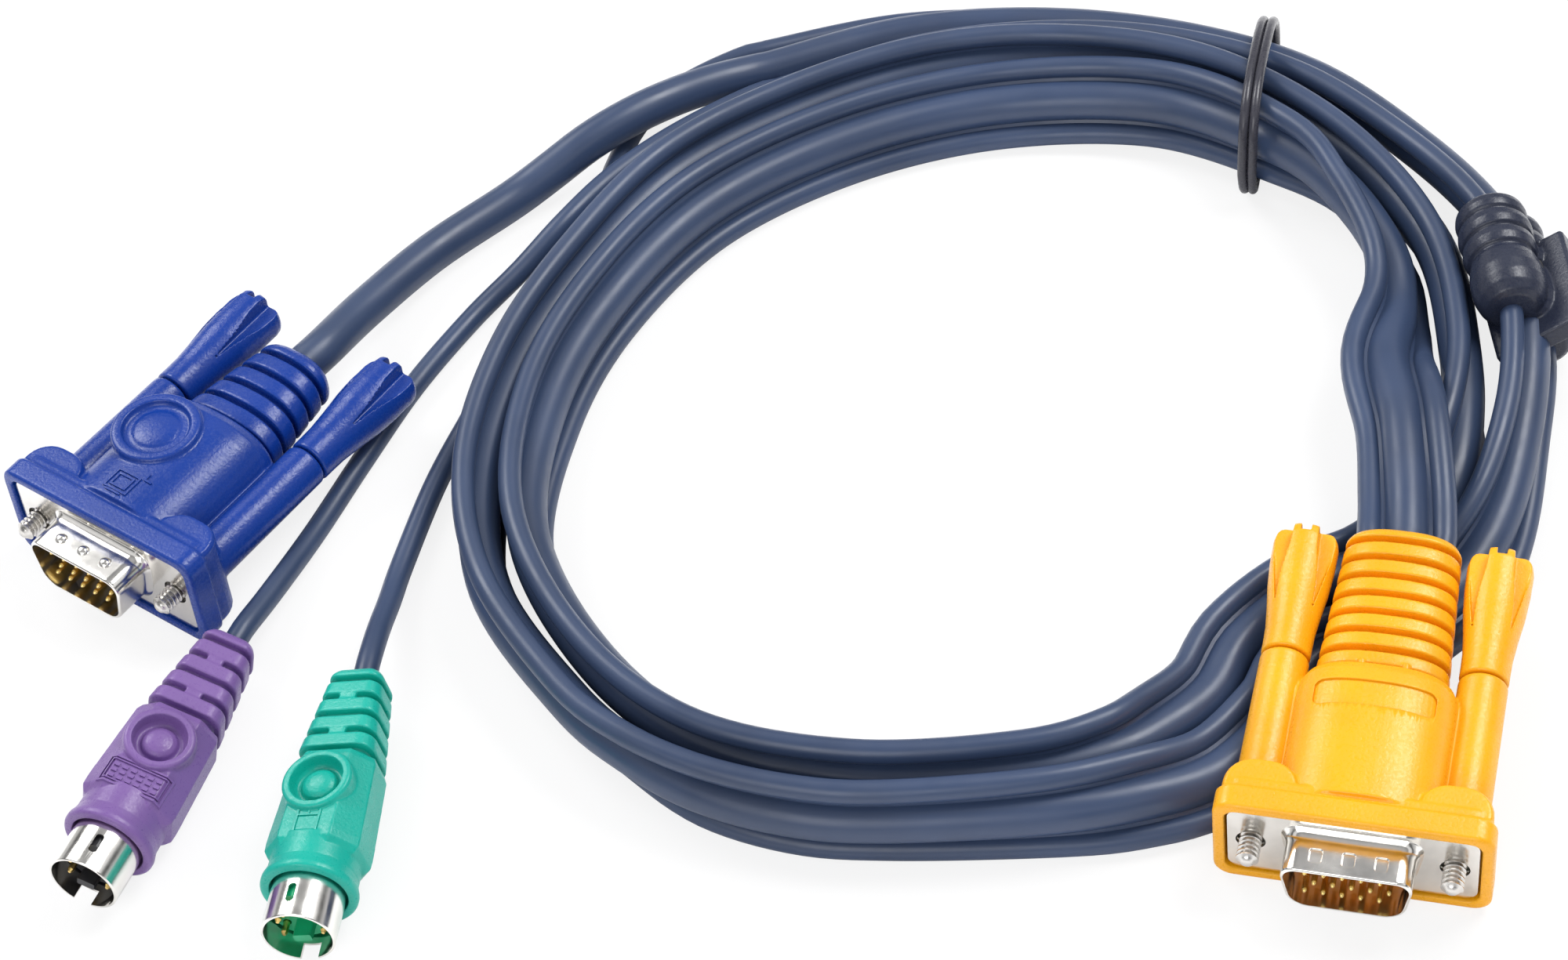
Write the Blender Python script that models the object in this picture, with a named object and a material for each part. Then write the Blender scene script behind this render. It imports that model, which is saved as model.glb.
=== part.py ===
"""A coiled keyboard, video and mouse cable with four moulded plugs.

One flat three-lobed cable leaves the yellow switch plug, runs round the coil three
times and splits into three round cords: one to the blue monitor plug, one to the
purple keyboard plug and one to the green mouse plug. Lengths are in millimetres and
become metres when a mesh is made. A plug's own frame has x across it, y from its
mating face to its cable, and z up.
"""

import math

import bmesh
import bpy
from mathutils import Matrix, Vector

MM = 0.001
GAP = 0.3
CIRCLE_SIDES = 16
FINE_SIDES = 12

# Middle of the plugs' footprint on the table, taken off every place below
LAYOUT_CENTRE = Vector((3.34, -7.98, 0.0))

# Places of the plugs: the middle of the mating face, then yaw, pitch and roll
SWITCH_PLUG_PLACE = (Vector((63.4, -80.3, 8.0)), -18.7, 5.0, 0.0)
MONITOR_PLUG_PLACE = (Vector((-91.8, -6.0, 8.0)), -41.1, 0.0, 0.0)
KEYBOARD_PLUG_PLACE = (Vector((-93.8, -59.9, 6.5)), -27.4, 0.0, 14.0)
MOUSE_PLUG_PLACE = (Vector((-66.6, -72.3, 6.5)), -12.6, 0.0, -10.0)

# Cable
VIDEO_RADIUS = 2.9
THIN_RADIUS = 1.6
THIN_OFFSET = 4.85
WEB_HALF = 0.5
STATION_SPACING = 13.5
CORD_STATION_SPACING = 9.0

# D-shaped plug
SCREW_SPACING = 24.99
PLATE_BEYOND_SCREW = 2.91
PLATE_WIDTH = SCREW_SPACING + 2.0 * PLATE_BEYOND_SCREW
RIM_BEYOND_PLATE = 1.795
RIM_WIDTH = PLATE_WIDTH + 2.0 * RIM_BEYOND_PLATE
RIM_HEIGHT = 16.0
RIM_CORNER = 2.2
RIM_FRONT = -0.5
RIM_BACK = 3.0
SHOULDER_STEP = 0.65
SHOULDER_BACK = 7.6
SHOULDER_ROUND = 2.2
SHOULDER_INNER = 7.2
HOOD_WIDTH = 20.4
HOOD_CROWN = 15.6
HOOD_FRONT = 3.9
HOOD_BACK = 24.3
HOOD_TAPER = 3.0
TUBE_RADIUS = 3.15
TUBE_END = 27.3
PLATE_HEIGHT = 12.55
PLATE_CORNER = 1.6
PLATE_THICKNESS = 0.7
REAR_PLATE_THICKNESS = 0.5
D_WIDTH = 16.92
D_HEIGHT = 8.36
D_SLOPE = 10.0
D_CORNER = 2.4
D_WALL = 0.45
D_DEPTH = 5.8
D_BACK = 6.4
PIN_RADIUS = 0.38
PIN_TIP = 5.0
PIN_PITCH = 2.29
PIN_ROW_SPACING = 1.98
PIN_ROWS = 3
PINS_IN_ROW = 5
INSULATOR_FACE = 1.2
INNER_MOULD_LENGTH = 11.0
INNER_MOULD_WIDTH = 15.0
INNER_MOULD_HEIGHT = 10.0
LABEL_WIDTH = 14.8
LABEL_FRONT = 16.6
LABEL_LENGTH = 3.6
LABEL_DEPTH = 0.35

# Thumbscrew
SCREW_RADIUS = 1.42
SCREW_TIP = 3.4
SCREW_CHAMFER = 0.5
SCREW_IN_KNOB = 8.0
KNOB_LENGTH = 18.9
KNOB_NECK_RADIUS = 3.1
KNOB_RADIUS = 4.0
KNOB_NECK = 3.2
FLUTE_DEPTH = 0.2
SLOT_WIDTH = 1.4
SLOT_DEPTH = 1.3

# Strain reliefs of the D-shaped plugs: end, widths, heights, grooves
SWITCH_RELIEF_END = 47.3
SWITCH_RELIEF_WIDTHS = (17.0, 14.8)
SWITCH_RELIEF_HEIGHTS = (9.8, 9.2)
SWITCH_GROOVES = 8
MONITOR_RELIEF_END = 41.0
MONITOR_RELIEF_WIDTHS = (16.6, 11.2)
MONITOR_RELIEF_HEIGHTS = (9.8, 8.8)
MONITOR_GROOVES = 5
GROOVE_WIDTH = 0.85
GROOVE_DEPTH = 1.0
RELIEF_END_ROUND = 1.6

# Thumb ring of the monitor plug
RING_OUTER = 6.3
RING_INNER = 4.8
RING_HEIGHT = 0.9
DOME_RADIUS = 3.5
DOME_HEIGHT = 0.6
MONITOR_RING_AT = (-3.4, 16.3)

# Round six-pin plug
SLEEVE_RADIUS = 4.75
SLEEVE_WALL = 0.35
SLEEVE_LENGTH = 12.0
DETENT_WIDTH = 1.0
DETENT_LENGTH = 2.6
DETENT_FRONT = 2.2
NOTCH_WIDTH = 2.2
NOTCH_LENGTH = 2.0
ROUND_INSULATOR_FACE = 3.4
KEY_WIDTH = 2.4
KEY_HEIGHT = 1.2
KEY_LOW = 1.3
ROUND_PIN_RADIUS = 0.45
ROUND_PIN_FRONT = 1.4
ROUND_PIN_LENGTH = 9.0
ROUND_PIN_RING = 2.9
ROUND_PIN_ANGLES = (28.0, 62.0, 118.0, 152.0, -25.0, 205.0)
COLLAR_FRONT = 6.4
COLLAR_LIP_RADIUS = 6.3
COLLAR_RADIUS = 5.7
BODY_FRONT = 10.9
BODY_BACK = 26.2
BODY_WIDTH = 12.6
BODY_BACK_WIDTH = 11.4
BODY_HEIGHT = 10.6
BODY_BACK_HEIGHT = 9.4
BODY_CHAMFER = 2.0
ROUND_RELIEF_END = 41.4
ROUND_RELIEF_WIDTHS = (10.6, 7.0)
ROUND_RELIEF_HEIGHTS = (8.2, 6.4)
ROUND_GROOVES = 5
SMALL_GROOVE_WIDTH = 0.8
SMALL_GROOVE_DEPTH = 0.9
BRIDGE_WIDTH = 2.4
SMALL_RING_OUTER = 4.6
SMALL_RING_INNER = 3.5
SMALL_RING_HEIGHT = 0.9
SMALL_DOME_RADIUS = 2.5
SMALL_DOME_HEIGHT = 0.6
SMALL_RING_AT = (0.0, 20.4)

# Choke on the outer pass of the cable
CHOKE_CENTRE_STATION = Vector((103.4, 11.9, 9.4))
CHOKE_LENGTH = 18.6
CHOKE_FRONT_RADIUS = 5.0
CHOKE_MIDDLE_RADIUS = 5.1
CHOKE_REAR_RADIUS = 4.3
CHOKE_PLATE_LENGTH = 18.0
CHOKE_PLATE_HEIGHT = 14.0
CHOKE_PLATE_THICKNESS = 3.0
CHOKE_PLATE_SHIFT = 5.0
CHOKE_PLATE_SET_OVER = 1.2
CORE_WALL = 1.1
CORE_LENGTH = 13.0
CHOKE_CLEARANCE = 0.35

# Tie round the three passes
TIE_CENTRE = Vector((75.2, 56.6, 0.0))
TIE_HEADING = 73.8
TIE_STRAND_RADIUS = 0.7
TIE_LOOP = (
    (-14.6, 8.0), (-14.3, 3.6), (-12.6, 1.3), (-9.0, 0.8), (0.0, 0.8), (10.0, 0.75), (13.6, 1.2),
    (15.6, 3.2), (15.3, 6.6), (13.4, 10.4), (8.6, 13.8), (0.0, 16.2), (-7.5, 16.7), (-12.6, 14.2),
)

# Route of the flat cable: x, y, z and the tilt of its flat side in degrees
FLAT_ROUTE = (
    (78.9, -34.5, 12.3, 0), (80.2, -27.9, 12.8, -12), (82.0, -14.8, 13.3, -23), (82.8, -1.7, 10.9, 8),
    (86.5, 10.7, 7.3, 49), (87.4, 21.3, 7.5, 58), (83.5, 33.8, 8.6, 73), (76.6, 44.0, 9.1, 100),
    (61.2, 58.2, 7.0, 123), (38.3, 64.0, 5.3, 135), (15.1, 60.5, 5.3, 132), (-6.4, 49.8, 5.5, 130),
    (-21.8, 32.4, 5.9, 123), (-31.3, 13.2, 6.0, 121), (-35.0, -9.9, 6.5, 107),
    (-27.8, -32.4, 6.5, 105), (-14.9, -48.9, 6.5, 97), (4.1, -57.9, 6.5, 85), (25.2, -60.4, 6.3, 74),
    (36.9, -58.8, 5.9, 60), (44.4, -54.7, 4.7, 37), (51.0, -49.3, 3.7, 25), (56.3, -41.5, 3.6, 24),
    (65.6, -34.5, 3.5, 23), (76.1, -30.3, 3.0, 16), (84.8, -24.5, 4.0, 29), (90.1, -14.8, 5.9, 60),
    (93.6, 2.3, 6.6, 85), (93.9, 24.4, 6.6, 81), (84.2, 44.9, 7.9, 85), (68.4, 61.3, 8.2, 85),
    (49.0, 70.4, 6.7, 93), (28.6, 71.6, 6.5, 101), (7.3, 65.7, 6.2, 110), (-10.8, 55.8, 6.3, 108),
    (-24.6, 39.6, 6.3, 108), (-35.0, 21.5, 6.4, 111), (-40.9, 0.9, 6.3, 111), (-40.3, -20.0, 6.6, 101),
    (-31.1, -39.6, 6.5, 105), (-23.8, -49.3, 6.5, 100), (-15.1, -57.1, 6.5, 88), (-4.0, -62.6, 6.5, 82),
    (7.5, -65.3, 6.5, 81), (26.9, -66.9, 6.3, 70), (39.2, -65.9, 5.5, 48), (49.8, -62.4, 4.0, 26),
    (59.1, -54.1, 3.5, 23), (64.8, -46.3, 3.4, 22), (76.8, -42.6, 3.2, 18), (86.0, -36.0, 3.7, 24),
    (93.1, -26.6, 5.5, 49), (98.8, -13.1, 7.5, 63), (102.4, -0.1, 8.9, 60), (103.4, 11.9, 9.4, 60),
    (102.6, 25.0, 8.7, 60), (96.0, 42.0, 7.1, 56), (83.5, 59.4, 7.3, 49), (66.6, 72.0, 6.3, 45),
    (47.0, 80.9, 4.5, 34), (26.5, 83.9, 3.5, 20), (6.0, 80.5, 3.0, 5),
)

# Routes of the three round cords after the split
VIDEO_ROUTE = (
    (5.1, 80.3, 3.0), (2.0, 79.7, 3.2), (-4.0, 77.0, 4.6), (-10.0, 73.2, 6.2), (-16.0, 69.6, 6.8),
    (-22.5, 66.0, 6.1), (-29.0, 62.0, 4.5), (-35.0, 58.4, 3.2), (-46.5, 49.5, 3.5), (-56.0, 38.0, 5.4),
    (-62.0, 28.2, 7.9), (-64.3, 25.6, 8.0),
)
KEYBOARD_ROUTE = (
    (6.2, 75.6, 3.4), (3.2, 75.0, 3.5), (-4.0, 70.0, 4.9), (-12.0, 64.4, 5.6), (-20.0, 58.0, 5.6),
    (-27.0, 50.4, 5.4), (-34.0, 43.8, 3.2), (-41.5, 36.6, 1.8), (-50.0, 25.0, 1.7), (-57.5, 12.0, 1.7),
    (-64.5, -1.5, 2.3), (-70.2, -14.0, 5.0), (-73.2, -20.2, 6.45), (-74.5, -22.7, 6.5),
)
MOUSE_ROUTE = (
    (4.5, 85.1, 2.6), (1.7, 84.7, 2.5), (-5.0, 82.4, 1.8), (-11.0, 78.4, 1.7), (-15.5, 72.8, 1.7),
    (-18.8, 65.5, 1.7), (-21.6, 57.8, 1.7), (-25.2, 50.0, 1.7), (-30.0, 41.5, 1.7), (-35.5, 32.5, 1.7),
    (-41.0, 20.0, 1.7), (-47.5, 6.0, 1.7), (-52.6, -8.5, 1.8), (-54.4, -16.0, 3.0), (-55.7, -22.5, 5.0),
    (-56.8, -28.5, 6.4), (-57.4, -31.4, 6.5),
)


def clear_scene():
    """Start from an empty scene."""
    for item in list(bpy.data.objects):
        bpy.data.objects.remove(item, do_unlink=True)


def material(name, colour, roughness, metallic=0.0):
    """A plain Principled material."""
    made = bpy.data.materials.new(name)
    made.use_nodes = True
    shader = made.node_tree.nodes["Principled BSDF"]
    shader.inputs["Base Color"].default_value = (*colour, 1.0)
    shader.inputs["Roughness"].default_value = roughness
    shader.inputs["Metallic"].default_value = metallic
    made.diffuse_color = (*colour, 1.0)
    return made


def circle(radius, y, count=CIRCLE_SIDES, x=0.0, z=0.0):
    """A round ring across the y axis."""
    turn = 2.0 * math.pi / count
    return [Vector((x + radius * math.cos(k * turn), y, z + radius * math.sin(k * turn))) for k in range(count)]


def superellipse(width, height, power, y, count):
    """A ring between an ellipse and a rectangle."""
    ring = []
    for k in range(count):
        angle = 2.0 * math.pi * (k + 0.5) / count
        cosine = math.cos(angle)
        sine = math.sin(angle)
        x = math.copysign(abs(cosine) ** (2.0 / power), cosine) * width / 2.0
        z = math.copysign(abs(sine) ** (2.0 / power), sine) * height / 2.0
        ring.append(Vector((x, y, z)))
    return ring


def corner_ring(corners, radius, y, steps=3):
    """A ring through corners (x, z) that are each rounded by an arc."""
    ring = []
    count = len(corners)
    for k in range(count):
        here = Vector(corners[k])
        before = (Vector(corners[k - 1]) - here).normalized()
        after = (Vector(corners[(k + 1) % count]) - here).normalized()
        half = before.angle(after) / 2.0
        middle = here + (before + after).normalized() * (radius / math.sin(half))
        start = here + before * (radius / math.tan(half)) - middle
        end = here + after * (radius / math.tan(half)) - middle
        for step in range(steps + 1):
            blend = start.lerp(end, step / steps).normalized() * radius
            ring.append(Vector((middle.x + blend.x, y, middle.y + blend.y)))
    return ring


def rectangle(width, height, radius, y, steps=3):
    """A rounded rectangle ring."""
    x = width / 2.0
    z = height / 2.0
    return corner_ring(((x, z), (-x, z), (-x, -z), (x, -z)), radius, y, steps)


def d_ring(width, height, radius, y):
    """A D-shaped ring, wide at the top, with sloping sides."""
    z = height / 2.0
    lean = math.tan(math.radians(D_SLOPE)) * z
    top = width / 2.0
    low = top - 2.0 * lean
    return corner_ring(((top, z), (-top, z), (-low, -z), (low, -z)), radius, y)


def lobed(lobes, web, y=0.0, sides=3):
    """A ring round lobes (centre, radius) that lie in a row along x."""
    upper = []
    last = len(lobes) - 1
    for index, (centre, radius) in enumerate(lobes):
        meet = math.asin(min(0.99, web / radius))
        start = 0.0 if index == last else meet
        end = math.pi if index == 0 else math.pi - meet
        for k in range(sides + 1):
            angle = end + (start - end) * k / sides
            upper.append((centre + radius * math.cos(angle), radius * math.sin(angle)))
    upper = [(x, z) for x, z in upper if all(
        math.hypot(x - centre, z) > radius - 0.001 for centre, radius in lobes)]
    lower = [(x, -z) for x, z in reversed(upper) if z > 0.01]
    return [Vector((x, y, z)) for x, z in upper + lower]


def loft(name, rings, owner, closed=False, turn=Matrix(), finish=None, smooth=True):
    """Skin a row of rings into one closed mesh object."""
    mesh = bmesh.new()
    made = [[mesh.verts.new(turn @ (point * MM)) for point in ring] for ring in rings]
    count = len(made[0])
    pairs = list(zip(made, made[1:]))
    if closed:
        pairs.append((made[-1], made[0]))
    for one, two in pairs:
        for k in range(count):
            mesh.faces.new((one[k], one[(k + 1) % count], two[(k + 1) % count], two[k]))
    if not closed:
        mesh.faces.new(made[0])
        mesh.faces.new(made[-1])
    bmesh.ops.recalc_face_normals(mesh, faces=mesh.faces)
    data = bpy.data.meshes.new(name)
    mesh.to_mesh(data)
    mesh.free()
    thing = bpy.data.objects.new(name, data)
    bpy.context.collection.objects.link(thing)
    thing.parent = owner
    if smooth:
        data.shade_smooth()
        data.set_sharp_from_angle(angle=math.radians(35.0))
    if finish:
        data.materials.append(finish)
    else:
        thing.hide_render = True
        thing.display_type = "WIRE"
    return thing


def combine(target, tool, operation):
    """Join a helper to an object, or cut it away."""
    step = target.modifiers.new(tool.name, "BOOLEAN")
    step.operation = operation
    step.solver = "EXACT"
    step.object = tool


def cut(target, tool):
    combine(target, tool, "DIFFERENCE")


def join(target, tool):
    combine(target, tool, "UNION")


def empty(name, place):
    """An empty that holds a plug's pieces at the plug's place."""
    position, yaw, pitch, roll = place
    holder = bpy.data.objects.new(name, None)
    bpy.context.collection.objects.link(holder)
    holder.matrix_world = (
        Matrix.Translation((position - LAYOUT_CENTRE) * MM)
        @ Matrix.Rotation(math.radians(yaw), 4, "Z")
        @ Matrix.Rotation(math.radians(pitch), 4, "X")
        @ Matrix.Rotation(math.radians(roll), 4, "Y")
    )
    return holder


def ribbed_rings(start, end, widths, heights, grooves, groove_width, groove_depth, count):
    """Rings of a tapering strain relief with grooves round it and a rounded end."""
    pitch = (end - start) / grooves

    def sized(y, inset):
        share = (y - start) / (end - start)
        width = widths[0] + (widths[1] - widths[0]) * share - 2.0 * inset
        height = heights[0] + (heights[1] - heights[0]) * share - 2.0 * inset
        return superellipse(width, height, 2.6, y, count)

    rings = [sized(start - 2.0, groove_depth)]
    for k in range(grooves):
        front = start + k * pitch
        back = front + groove_width
        if k > 0:
            rings.append(sized(front, 0.0))
            rings.append(sized(front, groove_depth))
        rings.append(sized(back, groove_depth))
        rings.append(sized(back, 0.0))
    rings.append(sized(end - RELIEF_END_ROUND, 0.0))
    rings.append(sized(end - RELIEF_END_ROUND * 0.3, RELIEF_END_ROUND * 0.3))
    rings.append(sized(end, RELIEF_END_ROUND))
    return rings


def thumb_ring(name, owner, outer, inner, height, dome_radius, dome_height, at, top):
    """A raised ring with a dome in it, on the upper face of a plug."""
    sink = 1.5
    profile = (
        (outer, -sink), (outer, height * 0.5), (outer - 0.4, height), (inner + 0.3, height),
        (inner - 0.4, 0.15), (dome_radius, 0.15), (dome_radius * 0.8, dome_height * 0.7),
        (dome_radius * 0.4, dome_height),
    )
    rings = [circle(radius, level) for radius, level in profile]
    stand = Matrix.Translation(Vector((at[0], at[1], top)) * MM) @ Matrix.Rotation(math.pi / 2.0, 4, "X")
    return loft(name, rings, owner, turn=stand)


def d_hood(name, owner, finish, relief):
    """The moulded hood of a D-shaped plug, with its pocket and screw bores."""
    end, widths, heights, grooves = relief
    half_pitch = SCREW_SPACING / 2.0
    hood = loft(name, [
        rectangle(RIM_WIDTH - 0.6, RIM_HEIGHT - 0.6, RIM_CORNER, RIM_FRONT),
        rectangle(RIM_WIDTH, RIM_HEIGHT, RIM_CORNER, RIM_FRONT + 0.3),
        rectangle(RIM_WIDTH, RIM_HEIGHT, RIM_CORNER, RIM_BACK - 0.3),
        rectangle(RIM_WIDTH - 0.6, RIM_HEIGHT - 0.6, RIM_CORNER, RIM_BACK),
        rectangle(RIM_WIDTH - 2.0 * SHOULDER_STEP, RIM_HEIGHT - 2.0 * SHOULDER_STEP, RIM_CORNER, RIM_BACK),
        rectangle(RIM_WIDTH - 2.0 * SHOULDER_STEP, RIM_HEIGHT - 2.0 * SHOULDER_STEP, RIM_CORNER,
                  HOOD_FRONT + 0.6),
    ], owner, finish=finish)
    shoulder_width = RIM_WIDTH / 2.0 - SHOULDER_STEP - SHOULDER_INNER
    shoulder_height = RIM_HEIGHT - 2.0 * SHOULDER_STEP
    for side, sign in (("left", -1.0), ("right", 1.0)):
        middle = Vector((sign * (SHOULDER_INNER + shoulder_width / 2.0), 0.0, 0.0))
        profile = (
            (RIM_BACK - 0.7, 0.05), (SHOULDER_BACK - SHOULDER_ROUND, 0.05),
            (SHOULDER_BACK - SHOULDER_ROUND * 0.3, SHOULDER_ROUND * 0.3),
            (SHOULDER_BACK, SHOULDER_ROUND * 0.75),
        )
        shoulder = loft(name + "_" + side + "_shoulder", [
            [middle + point for point in rectangle(
                shoulder_width - 2.0 * inset, shoulder_height - 2.0 * inset, RIM_CORNER, y)]
            for y, inset in profile
        ], owner)
        tube = loft(name + "_" + side + "_tube", [
            circle(TUBE_RADIUS, RIM_BACK + 1.0, x=sign * half_pitch),
            circle(TUBE_RADIUS, TUBE_END - 0.3, x=sign * half_pitch),
            circle(TUBE_RADIUS - 0.3, TUBE_END, x=sign * half_pitch),
        ], owner)
        join(hood, shoulder)
        join(hood, tube)
    body = loft(name + "_body", [
        superellipse(HOOD_WIDTH, HOOD_CROWN, 2.8, HOOD_FRONT, 20),
        superellipse(HOOD_WIDTH, HOOD_CROWN, 2.8, HOOD_BACK - HOOD_TAPER, 20),
        superellipse(widths[0] + 1.0, heights[0] + 2.0, 2.8, HOOD_BACK, 20),
    ], owner)
    tail = loft(name + "_relief", ribbed_rings(
        HOOD_BACK, end, widths, heights, grooves, GROOVE_WIDTH, GROOVE_DEPTH, 14), owner)
    join(hood, body)
    join(hood, tail)
    plates = PLATE_THICKNESS + REAR_PLATE_THICKNESS + 2.0 * GAP
    inner_depth = D_BACK + 1.5 * GAP + INNER_MOULD_LENGTH + 2.0 * GAP
    cut(hood, loft(name + "_pocket", [
        rectangle(PLATE_WIDTH + 2.0 * GAP, PLATE_HEIGHT + 2.0 * GAP, PLATE_CORNER, RIM_FRONT - 1.0),
        rectangle(PLATE_WIDTH + 2.0 * GAP, PLATE_HEIGHT + 2.0 * GAP, PLATE_CORNER, plates),
    ], owner))
    cut(hood, loft(name + "_inner_pocket", [
        rectangle(D_WIDTH + 2.0, D_HEIGHT + 2.6, 1.5, plates - 0.5),
        rectangle(D_WIDTH + 2.0, D_HEIGHT + 2.6, 1.5, D_BACK + GAP),
        rectangle(INNER_MOULD_WIDTH + 2.0 * GAP, INNER_MOULD_HEIGHT + 2.0 * GAP, 1.5, D_BACK + GAP + 0.05),
        rectangle(INNER_MOULD_WIDTH + 2.0 * GAP, INNER_MOULD_HEIGHT + 2.0 * GAP, 1.5, inner_depth),
    ], owner))
    for sign in (-1.0, 1.0):
        cut(hood, loft(name + "_bore", [
            circle(SCREW_RADIUS + GAP, plates - 0.5, FINE_SIDES, x=sign * half_pitch),
            circle(SCREW_RADIUS + GAP, TUBE_END + 1.0, FINE_SIDES, x=sign * half_pitch),
        ], owner))
    return hood


def label_recess(hood, owner):
    """The shallow recess on top of the switch plug's hood."""
    top = HOOD_CROWN / 2.0
    height = 2.0
    floor = top - LABEL_DEPTH
    lie = Matrix.Translation(Vector((0.0, LABEL_FRONT + LABEL_LENGTH / 2.0, floor)) * MM) @ Matrix.Rotation(
        math.pi / 2.0, 4, "X")
    cut(hood, loft("label_recess", [
        rectangle(LABEL_WIDTH, LABEL_LENGTH, 0.9, 0.0),
        rectangle(LABEL_WIDTH, LABEL_LENGTH, 0.9, height),
    ], owner, turn=lie))


def pin_places():
    """Pins of the D-shaped plug: three rows, the middle row set over by half a pitch."""
    places = []
    for row in range(PIN_ROWS):
        shift = PIN_PITCH / 2.0 if row == 1 else 0.0
        z = (1 - row) * PIN_ROW_SPACING
        for column in range(PINS_IN_ROW):
            x = (column - (PINS_IN_ROW - 1) / 2.0) * PIN_PITCH + shift - PIN_PITCH / 4.0
            places.append((x, z))
    return places


def d_contacts(name, owner, steel, plastic, finish_mould):
    """Shells, insulator with its pins and inner mould of a D-shaped plug."""
    half_pitch = SCREW_SPACING / 2.0
    front = loft(name + "_front_shell", [
        rectangle(PLATE_WIDTH, PLATE_HEIGHT, PLATE_CORNER, 0.0),
        rectangle(PLATE_WIDTH, PLATE_HEIGHT, PLATE_CORNER, PLATE_THICKNESS),
    ], owner, finish=steel)
    join(front, loft(name + "_d_wall", [
        d_ring(D_WIDTH, D_HEIGHT, D_CORNER, -D_DEPTH),
        d_ring(D_WIDTH, D_HEIGHT, D_CORNER, -1.2),
        d_ring(D_WIDTH + 1.2, D_HEIGHT + 1.2, D_CORNER + 0.5, PLATE_THICKNESS * 0.5),
    ], owner))
    inside = D_WIDTH - 2.0 * D_WALL
    inside_height = D_HEIGHT - 2.0 * D_WALL
    cut(front, loft(name + "_d_hollow", [
        d_ring(inside, inside_height, D_CORNER - D_WALL, -D_DEPTH - 1.0),
        d_ring(inside, inside_height, D_CORNER - D_WALL, PLATE_THICKNESS + 1.0),
    ], owner))
    rear_start = PLATE_THICKNESS + GAP
    rear_end = rear_start + REAR_PLATE_THICKNESS
    rear = loft(name + "_rear_shell", [
        rectangle(PLATE_WIDTH, PLATE_HEIGHT, PLATE_CORNER, rear_start),
        rectangle(PLATE_WIDTH, PLATE_HEIGHT, PLATE_CORNER, rear_end),
    ], owner, finish=steel)
    join(rear, loft(name + "_rear_wall", [
        rectangle(D_WIDTH + 1.2, D_HEIGHT + 1.8, 1.3, rear_start + 0.2),
        rectangle(D_WIDTH + 1.2, D_HEIGHT + 1.8, 1.3, D_BACK),
    ], owner))
    cut(rear, loft(name + "_rear_hollow", [
        rectangle(D_WIDTH + 0.3, D_HEIGHT + 0.9, 0.9, rear_start - 1.0),
        rectangle(D_WIDTH + 0.3, D_HEIGHT + 0.9, 0.9, D_BACK + 1.0),
    ], owner))
    for shell in (front, rear):
        for sign in (-1.0, 1.0):
            cut(shell, loft(shell.name + "_hole", [
                circle(SCREW_RADIUS + GAP, -1.0, FINE_SIDES, x=sign * half_pitch),
                circle(SCREW_RADIUS + GAP, rear_end + 1.0, FINE_SIDES, x=sign * half_pitch),
            ], owner))
    narrow = inside - 2.0 * GAP
    low = inside_height - 2.0 * GAP
    insulator = loft(name + "_insulator", [
        d_ring(narrow, low, D_CORNER - D_WALL - GAP, -INSULATOR_FACE),
        d_ring(narrow, low, D_CORNER - D_WALL - GAP, D_BACK - GAP),
    ], owner, finish=plastic)
    for number, (x, z) in enumerate(pin_places()):
        join(insulator, loft(name + "_pin_%02d" % number, [
            circle(PIN_RADIUS * 0.5, -PIN_TIP, 6, x, z),
            circle(PIN_RADIUS, -PIN_TIP + 0.4, 6, x, z),
            circle(PIN_RADIUS, 0.5, 6, x, z),
        ], owner))
    loft(name + "_inner_mould", [
        rectangle(INNER_MOULD_WIDTH, INNER_MOULD_HEIGHT, 1.2, D_BACK + 2.0 * GAP),
        rectangle(INNER_MOULD_WIDTH, INNER_MOULD_HEIGHT, 1.2, D_BACK + GAP + INNER_MOULD_LENGTH),
    ], owner, finish=finish_mould)


def fluted(radius, depth, y):
    """A ring of four petals with sharp valleys between them."""
    ring = []
    for k in range(CIRCLE_SIDES):
        angle = 2.0 * math.pi * k / CIRCLE_SIDES
        dip = (1.0 - abs(math.cos(2.0 * angle))) ** 2
        reach = radius * (1.0 - depth * dip)
        ring.append(Vector((reach * math.cos(angle), y, reach * math.sin(angle))))
    return ring


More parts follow.
